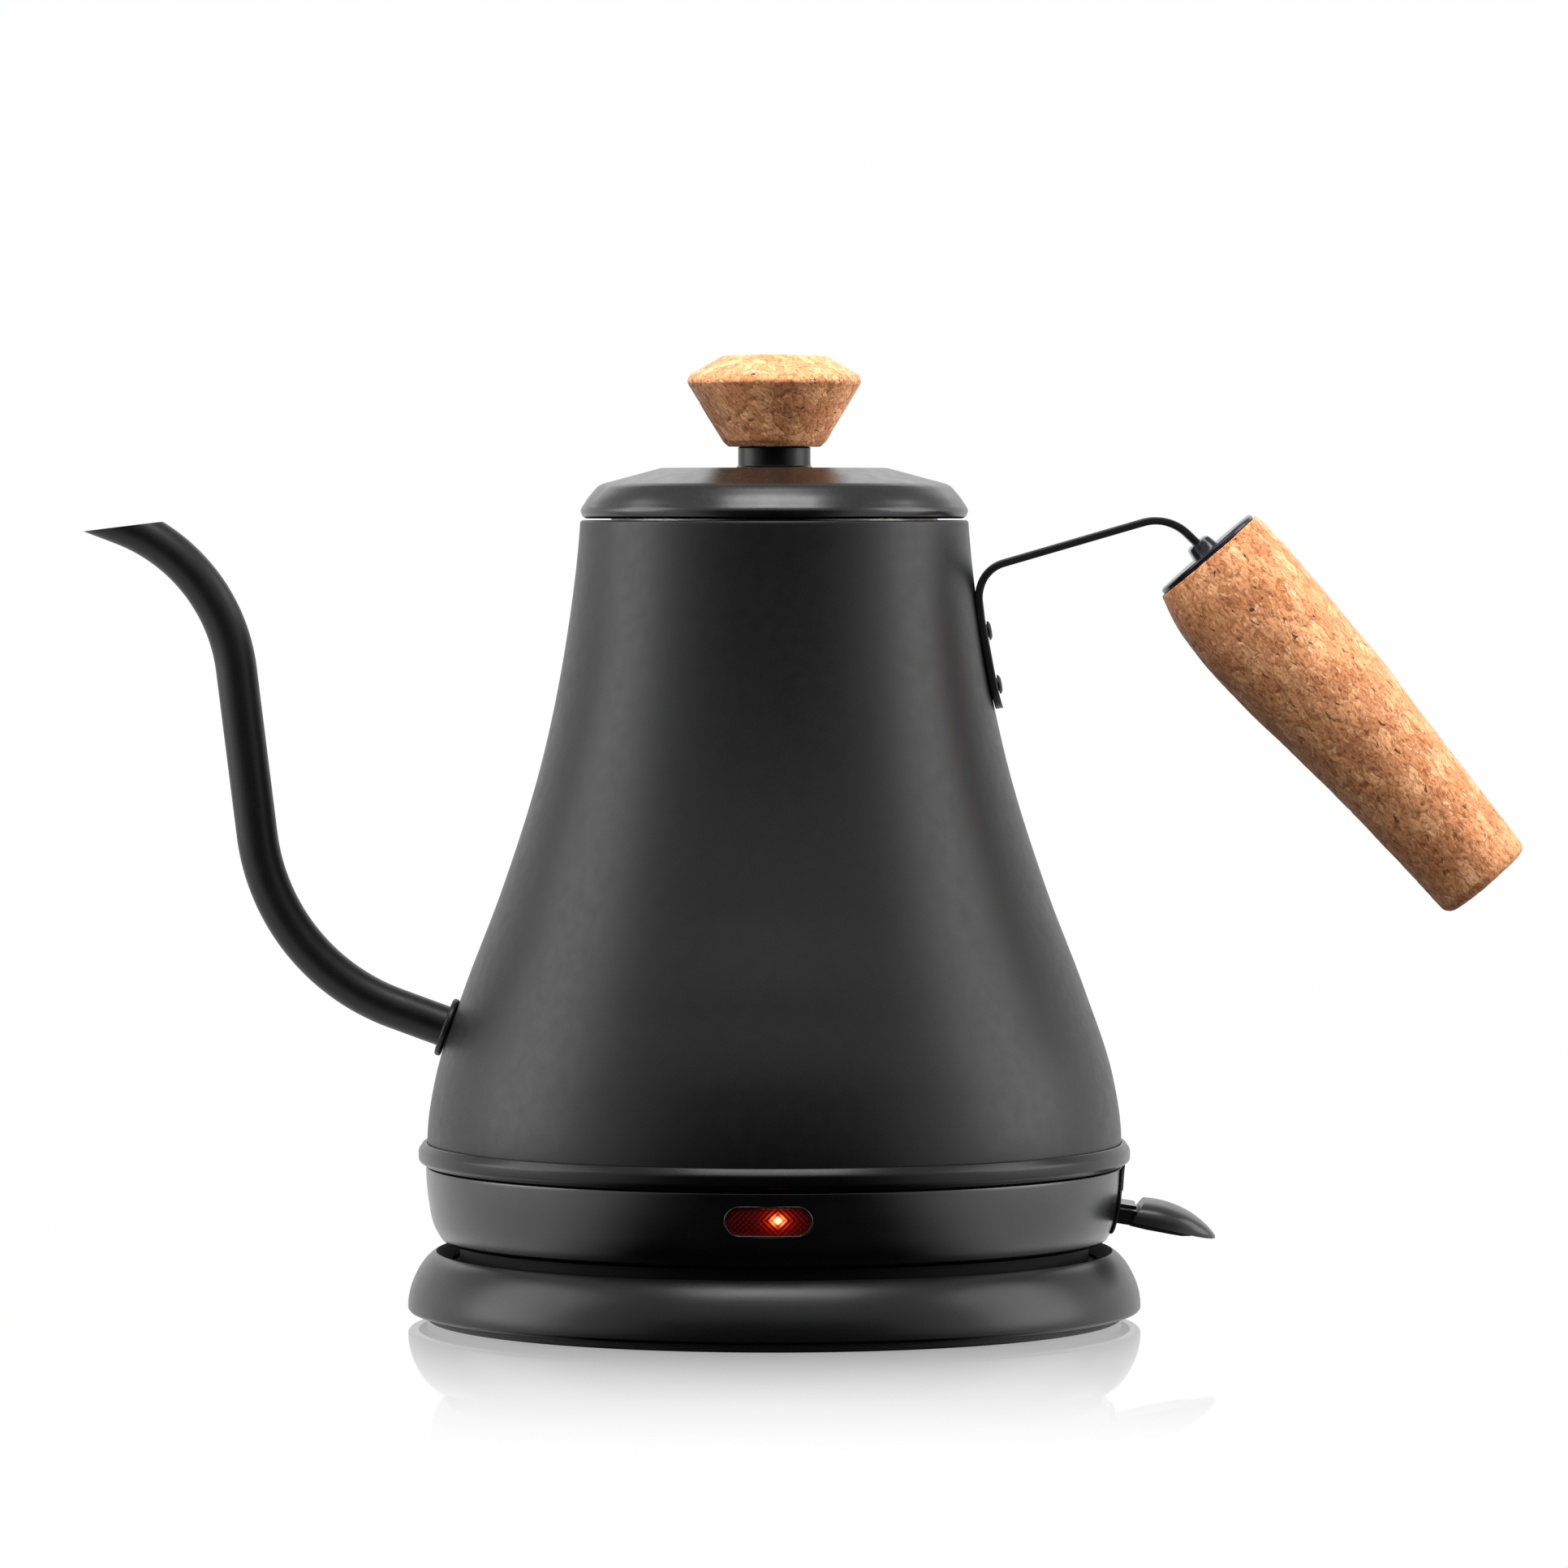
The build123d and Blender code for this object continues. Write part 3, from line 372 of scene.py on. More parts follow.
def metal(name, color, roughness, stretch=(1, 1, 1), scale=900.0):
    """Bare metal with brush marks along the stretched direction."""
    finish = Finish(name, color, roughness, Metallic=1.0)
    mapping = finish.add("ShaderNodeMapping")
    mapping.inputs["Scale"].default_value = stretch
    finish.join(finish.place, mapping.inputs["Vector"])
    brushed = finish.noise(scale, detail=4.0, roughness=0.65, place=mapping.outputs["Vector"])
    finish.feed("Roughness", finish.spread(brushed, 0.25, 0.75, roughness - 0.08, roughness + 0.12))
    finish.feed("Base Color", finish.ramp(brushed, (0.2, shade(color, 0.88)), (0.8, color)))
    finish.bump(brushed, 0.2, 0.01 * MM)
    return finish.material


def cork(name):
    """Agglomerated cork: pressed granules in several tones, fine worm-like grain, pits with painted
    shade in them, pale flecks as painted highlights.
    """
    finish = Finish(
        name, (0.5, 0.27, 0.13), 0.72, Specular_IOR_Level=0.42, Sheen_Weight=0.1, Sheen_Roughness=0.4,
    )
    warp = finish.add("ShaderNodeTexNoise", Scale=420.0, Detail=2.0)
    finish.join(finish.place, warp.inputs["Vector"])
    shift = finish.add("ShaderNodeVectorMath", operation="MULTIPLY_ADD")
    shift.inputs[1].default_value = (0.0014, 0.0014, 0.0014)
    finish.join(warp.outputs["Color"], shift.inputs[0])
    finish.join(finish.place, shift.inputs[2])
    warped = shift.outputs["Vector"]
    pressed = finish.add("ShaderNodeMapping")
    pressed.vector_type = "TEXTURE"
    pressed.inputs["Rotation"].default_value = (0, GRAIN_LEAN, 0)
    pressed.inputs["Scale"].default_value = (1, 1, 2.3)
    finish.join(warped, pressed.inputs["Vector"])
    lying = pressed.outputs["Vector"]

    granules = finish.add("ShaderNodeTexVoronoi", Scale=430.0)
    borders = finish.add("ShaderNodeTexVoronoi", Scale=430.0, feature="DISTANCE_TO_EDGE")
    for node in (granules, borders):
        finish.join(lying, node.inputs["Vector"])
    split = finish.add("ShaderNodeSeparateColor")
    finish.join(granules.outputs["Color"], split.inputs["Color"])
    color = finish.ramp(
        split.outputs["Red"], (0.0, (0.50, 0.193, 0.074)), (0.4, (0.60, 0.256, 0.108)),
        (0.75, (0.67, 0.303, 0.135)), (1.0, (0.78, 0.387, 0.185)),
    )
    worms = finish.noise(1700.0, detail=3.0, roughness=0.66, distortion=0.7, place=lying)
    streak = finish.ramp(
        worms, (0.33, (0.36, 0.27, 0.22)), (0.45, (0.82, 0.77, 0.73)), (0.53, (1.0, 1.0, 1.0)),
        (0.68, (1.25, 1.36, 1.45)),
    )
    color = finish.mix(0.9, color, streak, "MULTIPLY")
    seam = finish.spread(borders.outputs["Distance"], 0.0, 0.07, 0.4, 0.0)
    color = finish.mix(seam, color, (0.22, 0.075, 0.026))
    lines = finish.noise(700.0, detail=1.0, distortion=2.2, place=lying)
    off_line = finish.math("ABSOLUTE", finish.math("SUBTRACT", lines, 0.60))
    cracks = finish.spread(off_line, 0.0, 0.012, 0.75, 0.0)
    color = finish.mix(cracks, color, (0.10, 0.032, 0.014))
    # pits: real hollows in the bump below, with painted shade: their near-black colour stands for the
    # shade inside them
    pits = finish.noise(900.0, detail=2.0, roughness=0.5, distortion=0.8, place=lying)
    pit = finish.spread(pits, 0.69, 0.73, 0.0, 0.92)
    color = finish.mix(pit, color, (0.05, 0.018, 0.009))
    # painted highlights: small pale glints put into the cork's colour
    flecks = finish.noise(1300.0, detail=1.5, distortion=1.0, place=lying)
    fleck = finish.spread(flecks, 0.64, 0.72, 0.0, 0.55)
    color = finish.mix(fleck, color, (0.93, 0.66, 0.42))
    patches = finish.noise(85.0, detail=2.0)
    tint = finish.ramp(patches, (0.3, (0.87, 0.84, 0.80)), (0.7, (1.10, 1.12, 1.14)))
    color = finish.mix(0.7, color, tint, "MULTIPLY")
    finish.feed("Base Color", color)
    finish.feed("Roughness", finish.spread(worms, 0.3, 0.7, 0.85, 0.6))
    finish.bump(worms, 0.55, 0.16 * MM)
    finish.bump(finish.spread(borders.outputs["Distance"], 0.0, 0.12, 0.0, 1.0), 0.4, 0.07 * MM)
    finish.bump(finish.spread(pits, 0.66, 0.74, 1.0, 0.0), 0.8, 0.25 * MM)
    return finish.material


def lens_red(name):
    """Red prismatic plastic, lit from behind; the glow is worked out for each point of the lens."""
    finish = Finish(
        name, (0.045, 0.001, 0.0006), 0.22, Coat_Weight=0.06, Coat_Roughness=0.06,
        Specular_IOR_Level=0.12,
    )
    glow = finish.add("ShaderNodeAttribute", attribute_name="glow").outputs["Fac"]
    color = finish.ramp(
        glow, (0.0, (0.09, 0.0, 0.0)), (0.25, (0.6, 0.008, 0.0)), (0.5, (1.0, 0.075, 0.012)),
        (0.75, (1.0, 0.34, 0.07)), (1.0, (1.0, 0.80, 0.50)),
    )
    finish.feed("Emission Color", color)
    finish.feed("Emission Strength", finish.spread(glow, 0.0, 1.0, 0.08, 1.25))
    return finish.material


def lit_glass(name):
    """The small neon bulb: orange glass, brighter where the discharge glows."""
    finish = Finish(name, (1.0, 0.35, 0.12), 0.08, Emission_Strength=2.5)
    cloud = finish.noise(700.0, detail=2.0)
    color = finish.ramp(cloud, (0.35, (0.8, 0.16, 0.03)), (0.65, (1.0, 0.42, 0.14)))
    finish.feed("Emission Color", color)
    return finish.material


GRAIN_LEAN = math.radians(139.25)  # the cork's grain lies along the grip

BLACK_COAT = coat("black_powder_coat", (0.003, 0.003, 0.0031), 0.40, Specular_IOR_Level=0.37)
SATIN = {"grain": 2200.0, "depth": 0.006 * MM, "strength": 0.3}  # a coat with hardly any peel
LID_COAT = coat("lid_satin_coat", (0.0022, 0.0022, 0.0023), 0.27, Specular_IOR_Level=0.64, **SATIN)
STRAP_COAT = coat("strap_coat", (0.005, 0.005, 0.0055), 0.42)
HOUSING = plastic("housing_plastic", (0.0016, 0.0016, 0.0017), 0.27, Specular_IOR_Level=0.85)
BEAD_PLASTIC = plastic("bead_plastic", (0.0016, 0.0016, 0.0017), 0.28, Specular_IOR_Level=0.33)
NECK_COAT = coat("neck_satin_coat", (0.002, 0.002, 0.0021), 0.3, Specular_IOR_Level=0.25, **SATIN)
BASE_PLASTIC = plastic(
    "base_plastic", (0.004, 0.004, 0.0042), 0.31, grain=1500.0, depth=0.02 * MM, strength=0.5,
    Specular_IOR_Level=0.36,
)
ESCUTCHEON = plastic("escutcheon_plastic", (0.004, 0.004, 0.004), 0.7, Specular_IOR_Level=0.06)
BEZEL = plastic("lamp_lip_plastic", (0.012, 0.012, 0.013), 0.22)
CAP_GLOSS = plastic("end_cap_plastic", (0.006, 0.0075, 0.012), 0.2, strength=0.15)
LEVER_GREY = plastic("lever_cap_plastic", (0.014, 0.014, 0.015), 0.3, strength=0.25)
LEVER_BLACK = plastic("lever_arm_plastic", (0.003, 0.003, 0.003), 0.26, Specular_IOR_Level=0.5)
DARK_PLASTIC = plastic(
    "hidden_plastic", (0.004, 0.004, 0.0042), 0.55, strength=0.5, Specular_IOR_Level=0.12,
)
# painted shade: near-black and barely reflecting, for the base's lip and the walls of its well, where
# shade falls
WELL_PAINTED_SHADE = plastic(
    "well_painted_shade", (0.0015, 0.0015, 0.0015), 0.65, strength=0.5, Specular_IOR_Level=0.04,
)
PHENOLIC = plastic("moulding_compound", (0.10, 0.088, 0.075), 0.55, strength=0.6)
RUBBER = plastic("foot_rubber", (0.012, 0.012, 0.012), 0.62, depth=0.03 * MM, strength=0.6)
SILICONE = plastic("seal_silicone", (0.42, 0.42, 0.4), 0.42, Subsurface_Weight=0.15)
STEEL = metal("brushed_steel", (0.56, 0.55, 0.53), 0.3, stretch=(1, 1, 12), scale=420.0)
PLATED = metal("plated_steel", (0.66, 0.66, 0.67), 0.22)
BIMETAL = metal("bimetal", (0.62, 0.56, 0.42), 0.28)
ALUMINIUM = metal("cast_aluminium", (0.72, 0.72, 0.73), 0.38, scale=1500.0)
BRASS = metal("contact_brass", (0.78, 0.58, 0.26), 0.26)
CORK = cork("agglomerated_cork")
WIRE = plastic("wire_sleeve", (0.35, 0.02, 0.015), 0.45)
BULB = lit_glass("bulb_glass")
LENS = lens_red("lamp_lens_red")


# ---------------------------------------- CAD nodes that stay
KEPT = {
    DARK_PLASTIC: ("base_plate", "bottom_cover", "lamp_holder"),
    RUBBER: ("cord_gland",),
    PLATED: (
        "base_screws", "cover_screws", "element_terminals", "lever_pivot_pin", "over_centre_spring",
        "tang_pin", "knob_screw",
    ),
    PHENOLIC: ("base_connector", "kettle_socket", "control_unit", "trip_plunger"),
    BRASS: (
        "connector_rings", "connector_earth", "connector_tabs", "socket_blade", "socket_pin",
        "knob_insert",
    ),
    STEEL: ("kettle_floor", "heating_element", "steam_tube", "lever_bracket", "lid_cup"),
    ALUMINIUM: ("heat_plate", "grip_core"),
    BIMETAL: ("snap_discs",),
    SILICONE: ("steam_tube_seal", "lid_gasket"),
    WIRE: ("lamp_leads",),
    BULB: ("lamp_bulb",),
    ESCUTCHEON: ("lever_escutcheon",),
}


for kept_finish, kept_nodes in KEPT.items():
    for kept_name in kept_nodes:
        kept_mesh = NODES[kept_name].data
        kept_mesh.materials.clear()
        kept_mesh.materials.append(kept_finish)


# ---------------------------------------- power base
WELL_R, WELL_Z = 70.1 * MM, 10.5 * MM  # the well's faces painted with shade, near-black and matt, lie inside this radius, above this height


def power_base():
    """The domed cover and the rubber foot under it; the lip and the walls of its well are painted
    near-black and matt as shade.
    """
    dome = through([(75.9, 2.5), (74.6, 8.7), (70.5, 14.0)], (0.05, 1), (-1, 0.62), 12)
    outline = dome[:-1] + rounded([
        (70.5, 14.0), (69.9, 14.3, 0.5), (69.0, 13.9, 0.6), (67.6, 12.9, 0.5), (66.9, 12.3, 0.3),
        (66.9, 11.6, 0.3), (12.8, 11.6, 0.2), (12.8, 10.0), (68.7, 10.0), (68.7, 12.6), (69.6, 12.6),
        (72.6, 8.4, 3.0), (73.8, 2.7), (73.7, 1.9, 0.25), (75.45, 1.9, 0.5), (75.9, 2.5),
    ], closed=False)[:-1]
    dome = piece(turned(outline), "base_dome", "base", BASE_PLASTIC, ["base_cover"])
    # the lip and the well's walls get the painted shade
    dome.data.materials.append(WELL_PAINTED_SHADE)
    for face in dome.data.polygons:
        centre = face.center
        if math.hypot(centre.x, centre.y) < WELL_R and centre.z > WELL_Z:
            face.material_index = 1
    foot = rounded([(63, 0, 0.4), (72, 0, 0.5), (72, 1.6), (63, 1.6)])
    piece(turned(foot), "rubber_foot", "base", RUBBER, ["foot_ring"])


power_base()


# ---------------------------------------- vessel, spout and lower housing
SHELL_POINTS = [
    (71.9, 37.0), (70.2, 50.0), (64.3, 68.2), (56.6, 88.4), (48.2, 115.2), (42.8, 142.1), (40.2, 164.4),
]
SPOUT_ROUTE = [(-64.5, 59.05), (-103.95, 73.5), (-114.2, 156.6), (-146.0, 168.7)]
SPOUT_BENDS = (44.0, 37.0)
SPOUT_R, SPOUT_BORE = 4.25, 3.6
COLLAR_AT = 2.95  # how far up the spout its collar starts
SHELL_LOW, SHELL_WALL, MOUTH_R, MOUTH_DEEP = 33.3, 0.7, 36.6, 3.9
TIP_LOW, TIP_HIGH = Vector((-143.0, 163.1)), Vector((-126.7, 165.1))  # the line that cuts off the spout


def vessel():
    """The flared shell, coated outside, bare steel inside, its lip turned down at the mouth."""
    outside = through(SHELL_POINTS, (0, 1), (-0.07, 1), 14)
    inside = [Vector((p.x - SHELL_WALL, p.y)) for p in outside]
    low_r = SHELL_POINTS[0][0]
    rim = RIM_Z / MM
    lip_low, under_rim = rim - MOUTH_DEEP, rim - SHELL_WALL
    lip_out = MOUTH_R + SHELL_WALL
    outline = [Vector((low_r - SHELL_WALL, SHELL_LOW)), Vector((low_r, SHELL_LOW))] + outside[:-1]
    outline += rounded([
        tuple(outside[-1]), (40.1, rim, 0.85), (MOUTH_R, rim, 0.5), (MOUTH_R, lip_low, 0.2),
        (lip_out, lip_low, 0.2), (lip_out, under_rim, 0.3), (39.2, under_rim, 0.5), tuple(inside[-1]),
    ], closed=False)[:-1]
    outline += reversed(inside)
    shell = turned(outline, turns=256)
    shell = piece(shell, "vessel_shell", "kettle", BLACK_COAT, ["body_shell"])
    shell.data.materials.append(STEEL)
    for face in shell.data.polygons:
        centre = face.center
        away = Vector((centre.x, centre.y, 0)).normalized()
        looks_inward = face.normal.dot(away) < -0.2
        if looks_inward and centre.z < RIM_Z - 1.2 * MM:
            face.material_index = 1


def spout():
    """The gooseneck: a tube along its route, cut off at a slant at the tip."""
    bm = bmesh.new()
    route = [p * MM for p in bent([Vector(p) for p in SPOUT_ROUTE], SPOUT_BENDS)]
    outer = swept(bm, route, circle(SPOUT_R * MM), closed_ends=False)
    inner = swept(bm, route, circle(SPOUT_BORE * MM), closed_ends=False)
    for k in range(len(outer[0])):
        n = (k + 1) % len(outer[0])
        bm.faces.new((outer[0][k], outer[0][n], inner[0][n], inner[0][k]))
    run = (TIP_HIGH - TIP_LOW).normalized()
    sliced = bmesh.ops.bisect_plane(
        bm, geom=bm.verts[:] + bm.edges[:] + bm.faces[:], clear_outer=True,
        plane_co=(TIP_LOW.x * MM, 0, TIP_LOW.y * MM), plane_no=(-run.y, 0, run.x),
    )
    rim_edges = [g for g in sliced["geom_cut"] if isinstance(g, bmesh.types.BMEdge)]
    bmesh.ops.bridge_loops(bm, edges=rim_edges)
    piece(bm, "gooseneck", "kettle", BLACK_COAT, ["spout_tube"], sharp=40)


def spout_collar():
    """The ring where the spout leaves the vessel."""
    start, knee = (Vector((x, 0, z)) for x, z in SPOUT_ROUTE[:2])
    run = (knee - start).normalized()
    foot = (start + run * COLLAR_AT) * MM
    place = Matrix.Translation(foot) @ run.to_track_quat("Z", "Y").to_matrix().to_4x4()
    outline = rounded([(4.27, 0), (6.2, 0, 0.55), (6.2, 1.4, 0.6), (4.27, 1.4, 0.12)])
    collar = turned(outline, place, turns=96)
    piece(collar, "gooseneck_collar", "kettle", BLACK_COAT, ["spout_flange"])


def bead():
    """The bead between vessel and housing."""
    outline = rounded([
        (70.4, 32.2), (72.4, 32.2, 0.4), (73.7, 33.1, 1.0), (73.7, 35.3, 1.2), (72.7, 36.8, 0.5),
        (72.02, 36.8), (72.02, 33.25), (70.4, 33.25),
    ])
    piece(turned(outline), "waist_bead", "kettle", BEAD_PLASTIC, ["trim_ring"])


HOUSING_SIDE = through(
    [(72.2, 31.9), (71.6, 24.5), (70.5, 19.6), (69.0, 16.9)], (-0.03, -1), (-0.62, -1), 8,
)
SLOT_HALF, SLOT_LOW, SLOT_HIGH = 8.2, 19.0, 27.0  # the lever's slot: half width, bottom and top


def housing():
    """The lower housing, its wall left out where the switch lever comes through."""
    top = [(70.2, 31.9), (72.2, 31.9, 0.45), tuple(HOUSING_SIDE[1])]
    outline = rounded(top, closed=False)[:-1] + HOUSING_SIDE[1:-1]
    outline += rounded([
        (69.0, 16.9), (67.9, 16.2, 0.8), (65.5, 16.2, 0.2), (65.5, 17.6), (68.0, 19.2), (69.5, 24.5),
        (69.75, 27.3),
    ], closed=False)
    bm = turned(outline, turns=360)
    gone = []
    for face in bm.faces:
        centre = face.calc_center_median() / MM
        if centre.x > 60 and abs(centre.y) < SLOT_HALF and SLOT_LOW < centre.z < SLOT_HIGH:
            gone.append(face)
    bmesh.ops.delete(bm, geom=gone, context="FACES")
    open_edges = [e for e in bm.edges if len(e.link_faces) == 1]
    bmesh.ops.bridge_loops(bm, edges=open_edges)
    band = piece(bm, "lower_band", "kettle", HOUSING, ["lower_housing"])
    window = rounded_box(17.5, 6.1, 3.04, steps=14)
    window = [Vector((across * MM, -62 * MM, LAMP_Z + up * MM)) for across, up in window]
    cut(band, window, Vector((0, -20 * MM, 0)))


vessel()
spout()
spout_collar()
bead()
housing()


# ---------------------------------------- pilot lamp
def housing_radius(z):
    """Radius of the lower housing at a height, both in metres."""
    for upper, lower in zip(HOUSING_SIDE, HOUSING_SIDE[1:]):
        if lower.y * MM <= z <= upper.y * MM:
            t = (z - lower.y * MM) / ((upper.y - lower.y) * MM)
            return (lower.x + (upper.x - lower.x) * t) * MM
    raise ValueError("height outside the housing's side")


def tent(value):
    """A zigzag between 0 and 1 with a period of 1."""
    return 1 - abs(2 * (value - math.floor(value)) - 1)


def lens():
    """The lens: a stadium of small prisms, and how brightly each point of it glows."""
    length, height, pitch = 16.7 * MM, 5.3 * MM, 1.15 * MM  # pitch is one prism's size
    hot = Vector((1.9 * MM, 0.35 * MM))  # where the bulb glows through
    columns, rows = 150, 48
    bm = bmesh.new()
    glow = bm.verts.layers.float.new("glow")
    grid = []
    for j in range(rows + 1):
        up = (j / rows - 0.5) * height * 0.998
        half = (length - height) / 2 + math.sqrt(max((height / 2) ** 2 - up**2, 0))
        line = []
        for i in range(columns + 1):
            across = (2 * i / columns - 1) * half
            u = (across - hot.x + up - hot.y) / pitch
            v = (across - hot.x - up + hot.y) / pitch
            prism = tent(u + 0.5) + tent(v + 0.5)
            inside = min(1.0, (half - abs(across)) / (0.5 * MM), (height / 2 - abs(up)) / (0.4 * MM))
            r = housing_radius(LAMP_Z + up) + (0.14 * prism - 0.25) * MM * inside - 0.1 * MM
            y = -math.sqrt(r * r - across * across)
            vertex = bm.verts.new((across, y, LAMP_Z + up))
            far = math.hypot((across - hot.x) / 1.35, up - hot.y) / MM
            diamond = (abs(across - hot.x) + abs(up - hot.y)) / pitch
            # a bright core, a ring of lit prisms, and a wide faint field
            near = math.exp(-((far / 0.95) ** 2))
            ring = math.exp(-((far / 2.3) ** 2)) * (0.1 + 0.9 * tent(diamond) ** 1.5)
            wide = math.exp(-((far / 4.6) ** 2)) * (0.35 + 0.65 * tent(u) * tent(v))
            vertex[glow] = min(1.0, near + 0.66 * ring + 0.13 * wide)
            line.append(vertex)
        grid.append(line)
    for low, high in zip(grid, grid[1:]):
        for i in range(columns):
            bm.faces.new((low[i], low[i + 1], high[i + 1], high[i]))
    edges = [e for e in bm.edges if len(e.link_faces) == 1]
    back = bmesh.ops.extrude_edge_only(bm, edges=edges)
    moved = [g for g in back["geom"] if isinstance(g, bmesh.types.BMVert)]
    bmesh.ops.translate(bm, verts=moved, vec=(0, 1.3 * MM, 0))
    bmesh.ops.edgeloop_fill(bm, edges=[e for e in bm.edges if len(e.link_faces) == 1])
    piece(bm, "pilot_lens", "kettle", LENS, ["lamp_lens"], sharp=12)


def bezel():
    """The rounded lip round the lens, laid on the curve of the housing."""
    path = rounded_box(17.35, 5.95, 2.97, steps=16)
    half = [(0.08, 0.26), (0.2, 0.18), (0.27, 0.02), (0.27, -2.4)]
    lip = [(-wide, out) for wide, out in reversed(half)] + half
    bm = bmesh.new()
    rings = []
    for i, point in enumerate(path):
        ahead = Vector(path[(i + 1) % len(path)]) - Vector(path[i - 1])
        ahead.normalize()
        ring = []
        for wide, out in lip:
            across = (point[0] + ahead.y * wide) * MM
            z = LAMP_Z + (point[1] - ahead.x * wide) * MM
            r = housing_radius(z) + out * MM
            ring.append(bm.verts.new((across, -math.sqrt(r * r - across * across), z)))
        rings.append(ring)
    bridge(bm, rings + rings[:1], len(lip))
    piece(bm, "lamp_lip", "kettle", BEZEL, ["lamp_bezel"], sharp=50)


lens()
bezel()


# ---------------------------------------- switch lever
def ease(bm, edges, width, segments):
    """Rounds edges over a width in millimetres."""
    bmesh.ops.bevel(
        bm, geom=edges, offset=width * MM, segments=segments, affect="EDGES", clamp_overlap=True,
    )


PADDLE_HALF, TAPER_FROM, TAPER_TO = 9.45, 78.0, 91.42  # half width, and where it narrows to the tip
PADDLE_STEPS = 40


def paddle():
    """The lever's cap: flat below, domed above, cut at a slant by the arm and drawn out to a tip."""
    top = [(76.75, 24.95), (82.6, 23.75), (87.9, 20.85), (91.35, 17.25)]
    top = through(top, (1, -0.06), (0.62, -1), 10)
    low = [(73.8, 20.7), (81.9, 18.95), (87.3, 17.55), (91.3, 16.75)]
    low = through(low, (1, -0.2), (1, -0.1), 10)
    bm = bmesh.new()
    rings = []
    for crest, foot in zip(top, low):
        taper = max(0.0, (foot.x - TAPER_FROM) / (TAPER_TO - TAPER_FROM))
        half = PADDLE_HALF * math.sqrt(1 - min(taper, 0.998) ** 2.2)
        ring = []
        for k in range(PADDLE_STEPS + 1):
            angle = math.pi * k / PADDLE_STEPS
            across = half * math.copysign(abs(math.cos(angle)) ** 0.7, math.cos(angle))
            rise = abs(math.sin(angle)) ** 0.7
            at = foot + (crest - foot) * rise
            ring.append(bm.verts.new((at.x * MM, across * MM, at.y * MM)))
        rings.append(ring)
    bridge(bm, rings, PADDLE_STEPS + 1)
    bm.faces.new(rings[0])
    bm.faces.new(rings[-1])
    rim = [e for e in bm.edges if all(v in rings[0] for v in e.verts)]
    ease(bm, rim, 0.22, 3)
    piece(bm, "lever_cap", "lever", LEVER_GREY, ["lever_paddle"], sharp=50)


PIVOT = Vector((63.5, 22.8))
LEVER_TILT = math.radians(-8.8)  # the arm points down at rest


def along(distance, height):
    """A point of the lever from its pivot, along the arm and square to it."""
    return PIVOT + Matrix.Rotation(LEVER_TILT, 2) @ Vector((distance, height))


def slab(bm, outline, half, edge=0.12):
    """Adds a flat plate with eased edges: an outline in the XZ plane, half wide to each side."""
    near = [bm.verts.new((x * MM, -half * MM, z * MM)) for x, z in outline]
    far = [bm.verts.new((x * MM, half * MM, z * MM)) for x, z in outline]
    faces = [bm.faces.new(near), bm.faces.new(far)]
    for k in range(len(near)):
        n = (k + 1) % len(near)
        faces.append(bm.faces.new((near[k], near[n], far[n], far[k])))
    ease(bm, list({e for face in faces for e in face.edges}), edge, 2)


def lever_arm():
    """The rocking arm: inner finger, boss on the pin, outer block, splash guard above, plate below."""
    bm = bmesh.new()
    slab(bm, [along(-8.4, -0.8), along(-4.9, -1.0), along(-4.9, 1.0), along(-8.4, 0.8)], 3.0)
    slab(bm, [along(-5.1, -1.0), along(-1.8, -1.25), along(-1.8, 1.25), along(-5.1, 1.0)], 7.0)
    block = [along(1.8, -1.25), along(11.6, -1.35), along(12.2, 1.0), along(11.3, 1.7), along(1.8, 1.5)]
    slab(bm, block, 7.0)
    guard = rounded([
        tuple(along(1.8, 2.0)), (*along(11.2, 1.95), 0.4), (*along(11.2, 2.75), 0.4),
        tuple(along(1.8, 2.75)),
    ])
    slab(bm, guard, 6.6, edge=0.06)
    slab(bm, [
        (73.4, 19.85), (76.8, 19.05), (81.9, 18.1), (84.2, 17.72), (86.2, 17.72), (86.2, 18.0),
        (82.0, 19.6), (76.0, 21.4), (74.3, 21.2),
    ], 7.6)
    boss = rounded([(1.27, -7), (2.7, -7, 0.15), (2.7, 7, 0.15), (1.27, 7)])
    place = Matrix.Translation((PIVOT.x * MM, 0, PIVOT.y * MM)) @ Matrix.Rotation(math.pi / 2, 4, "X")
    add_turned(bm, boss, place)
    piece(bm, "lever_arm", "lever", LEVER_BLACK, ["switch_lever"], sharp=50)


paddle()
lever_arm()


# ---------------------------------------- lid
def cork_skin(bm):
    """Roughens a dense cork surface: soft unevenness, shallow seams between granules and open pits."""
    bm.normal_update()
    for vertex in bm.verts:
        at = vertex.co / MM
        near = noise.voronoi(at / 2.3)[0]
        seam = max(0.0, 1 - (near[1] - near[0]) / 0.16)
        uneven = noise.noise(at / 6.0) * 0.09 + noise.noise(at / 1.1) * 0.045
        pit = max(0.0, noise.noise(at / 1.5 + Vector((9.1, 4.2, 7.7))) - 0.42) * 1.3
        vertex.co += vertex.normal * (uneven - 0.05 * seam - min(pit, 0.28)) * MM


def divided(points, longest):
    """The same outline with long runs divided, so that no step is longer than longest."""
    dense = []
    for a, b in zip(points, points[1:]):
        steps = max(1, math.ceil((b - a).length / longest))
        dense += [a + (b - a) * k / steps for k in range(steps)]
    return dense + [points[-1]]


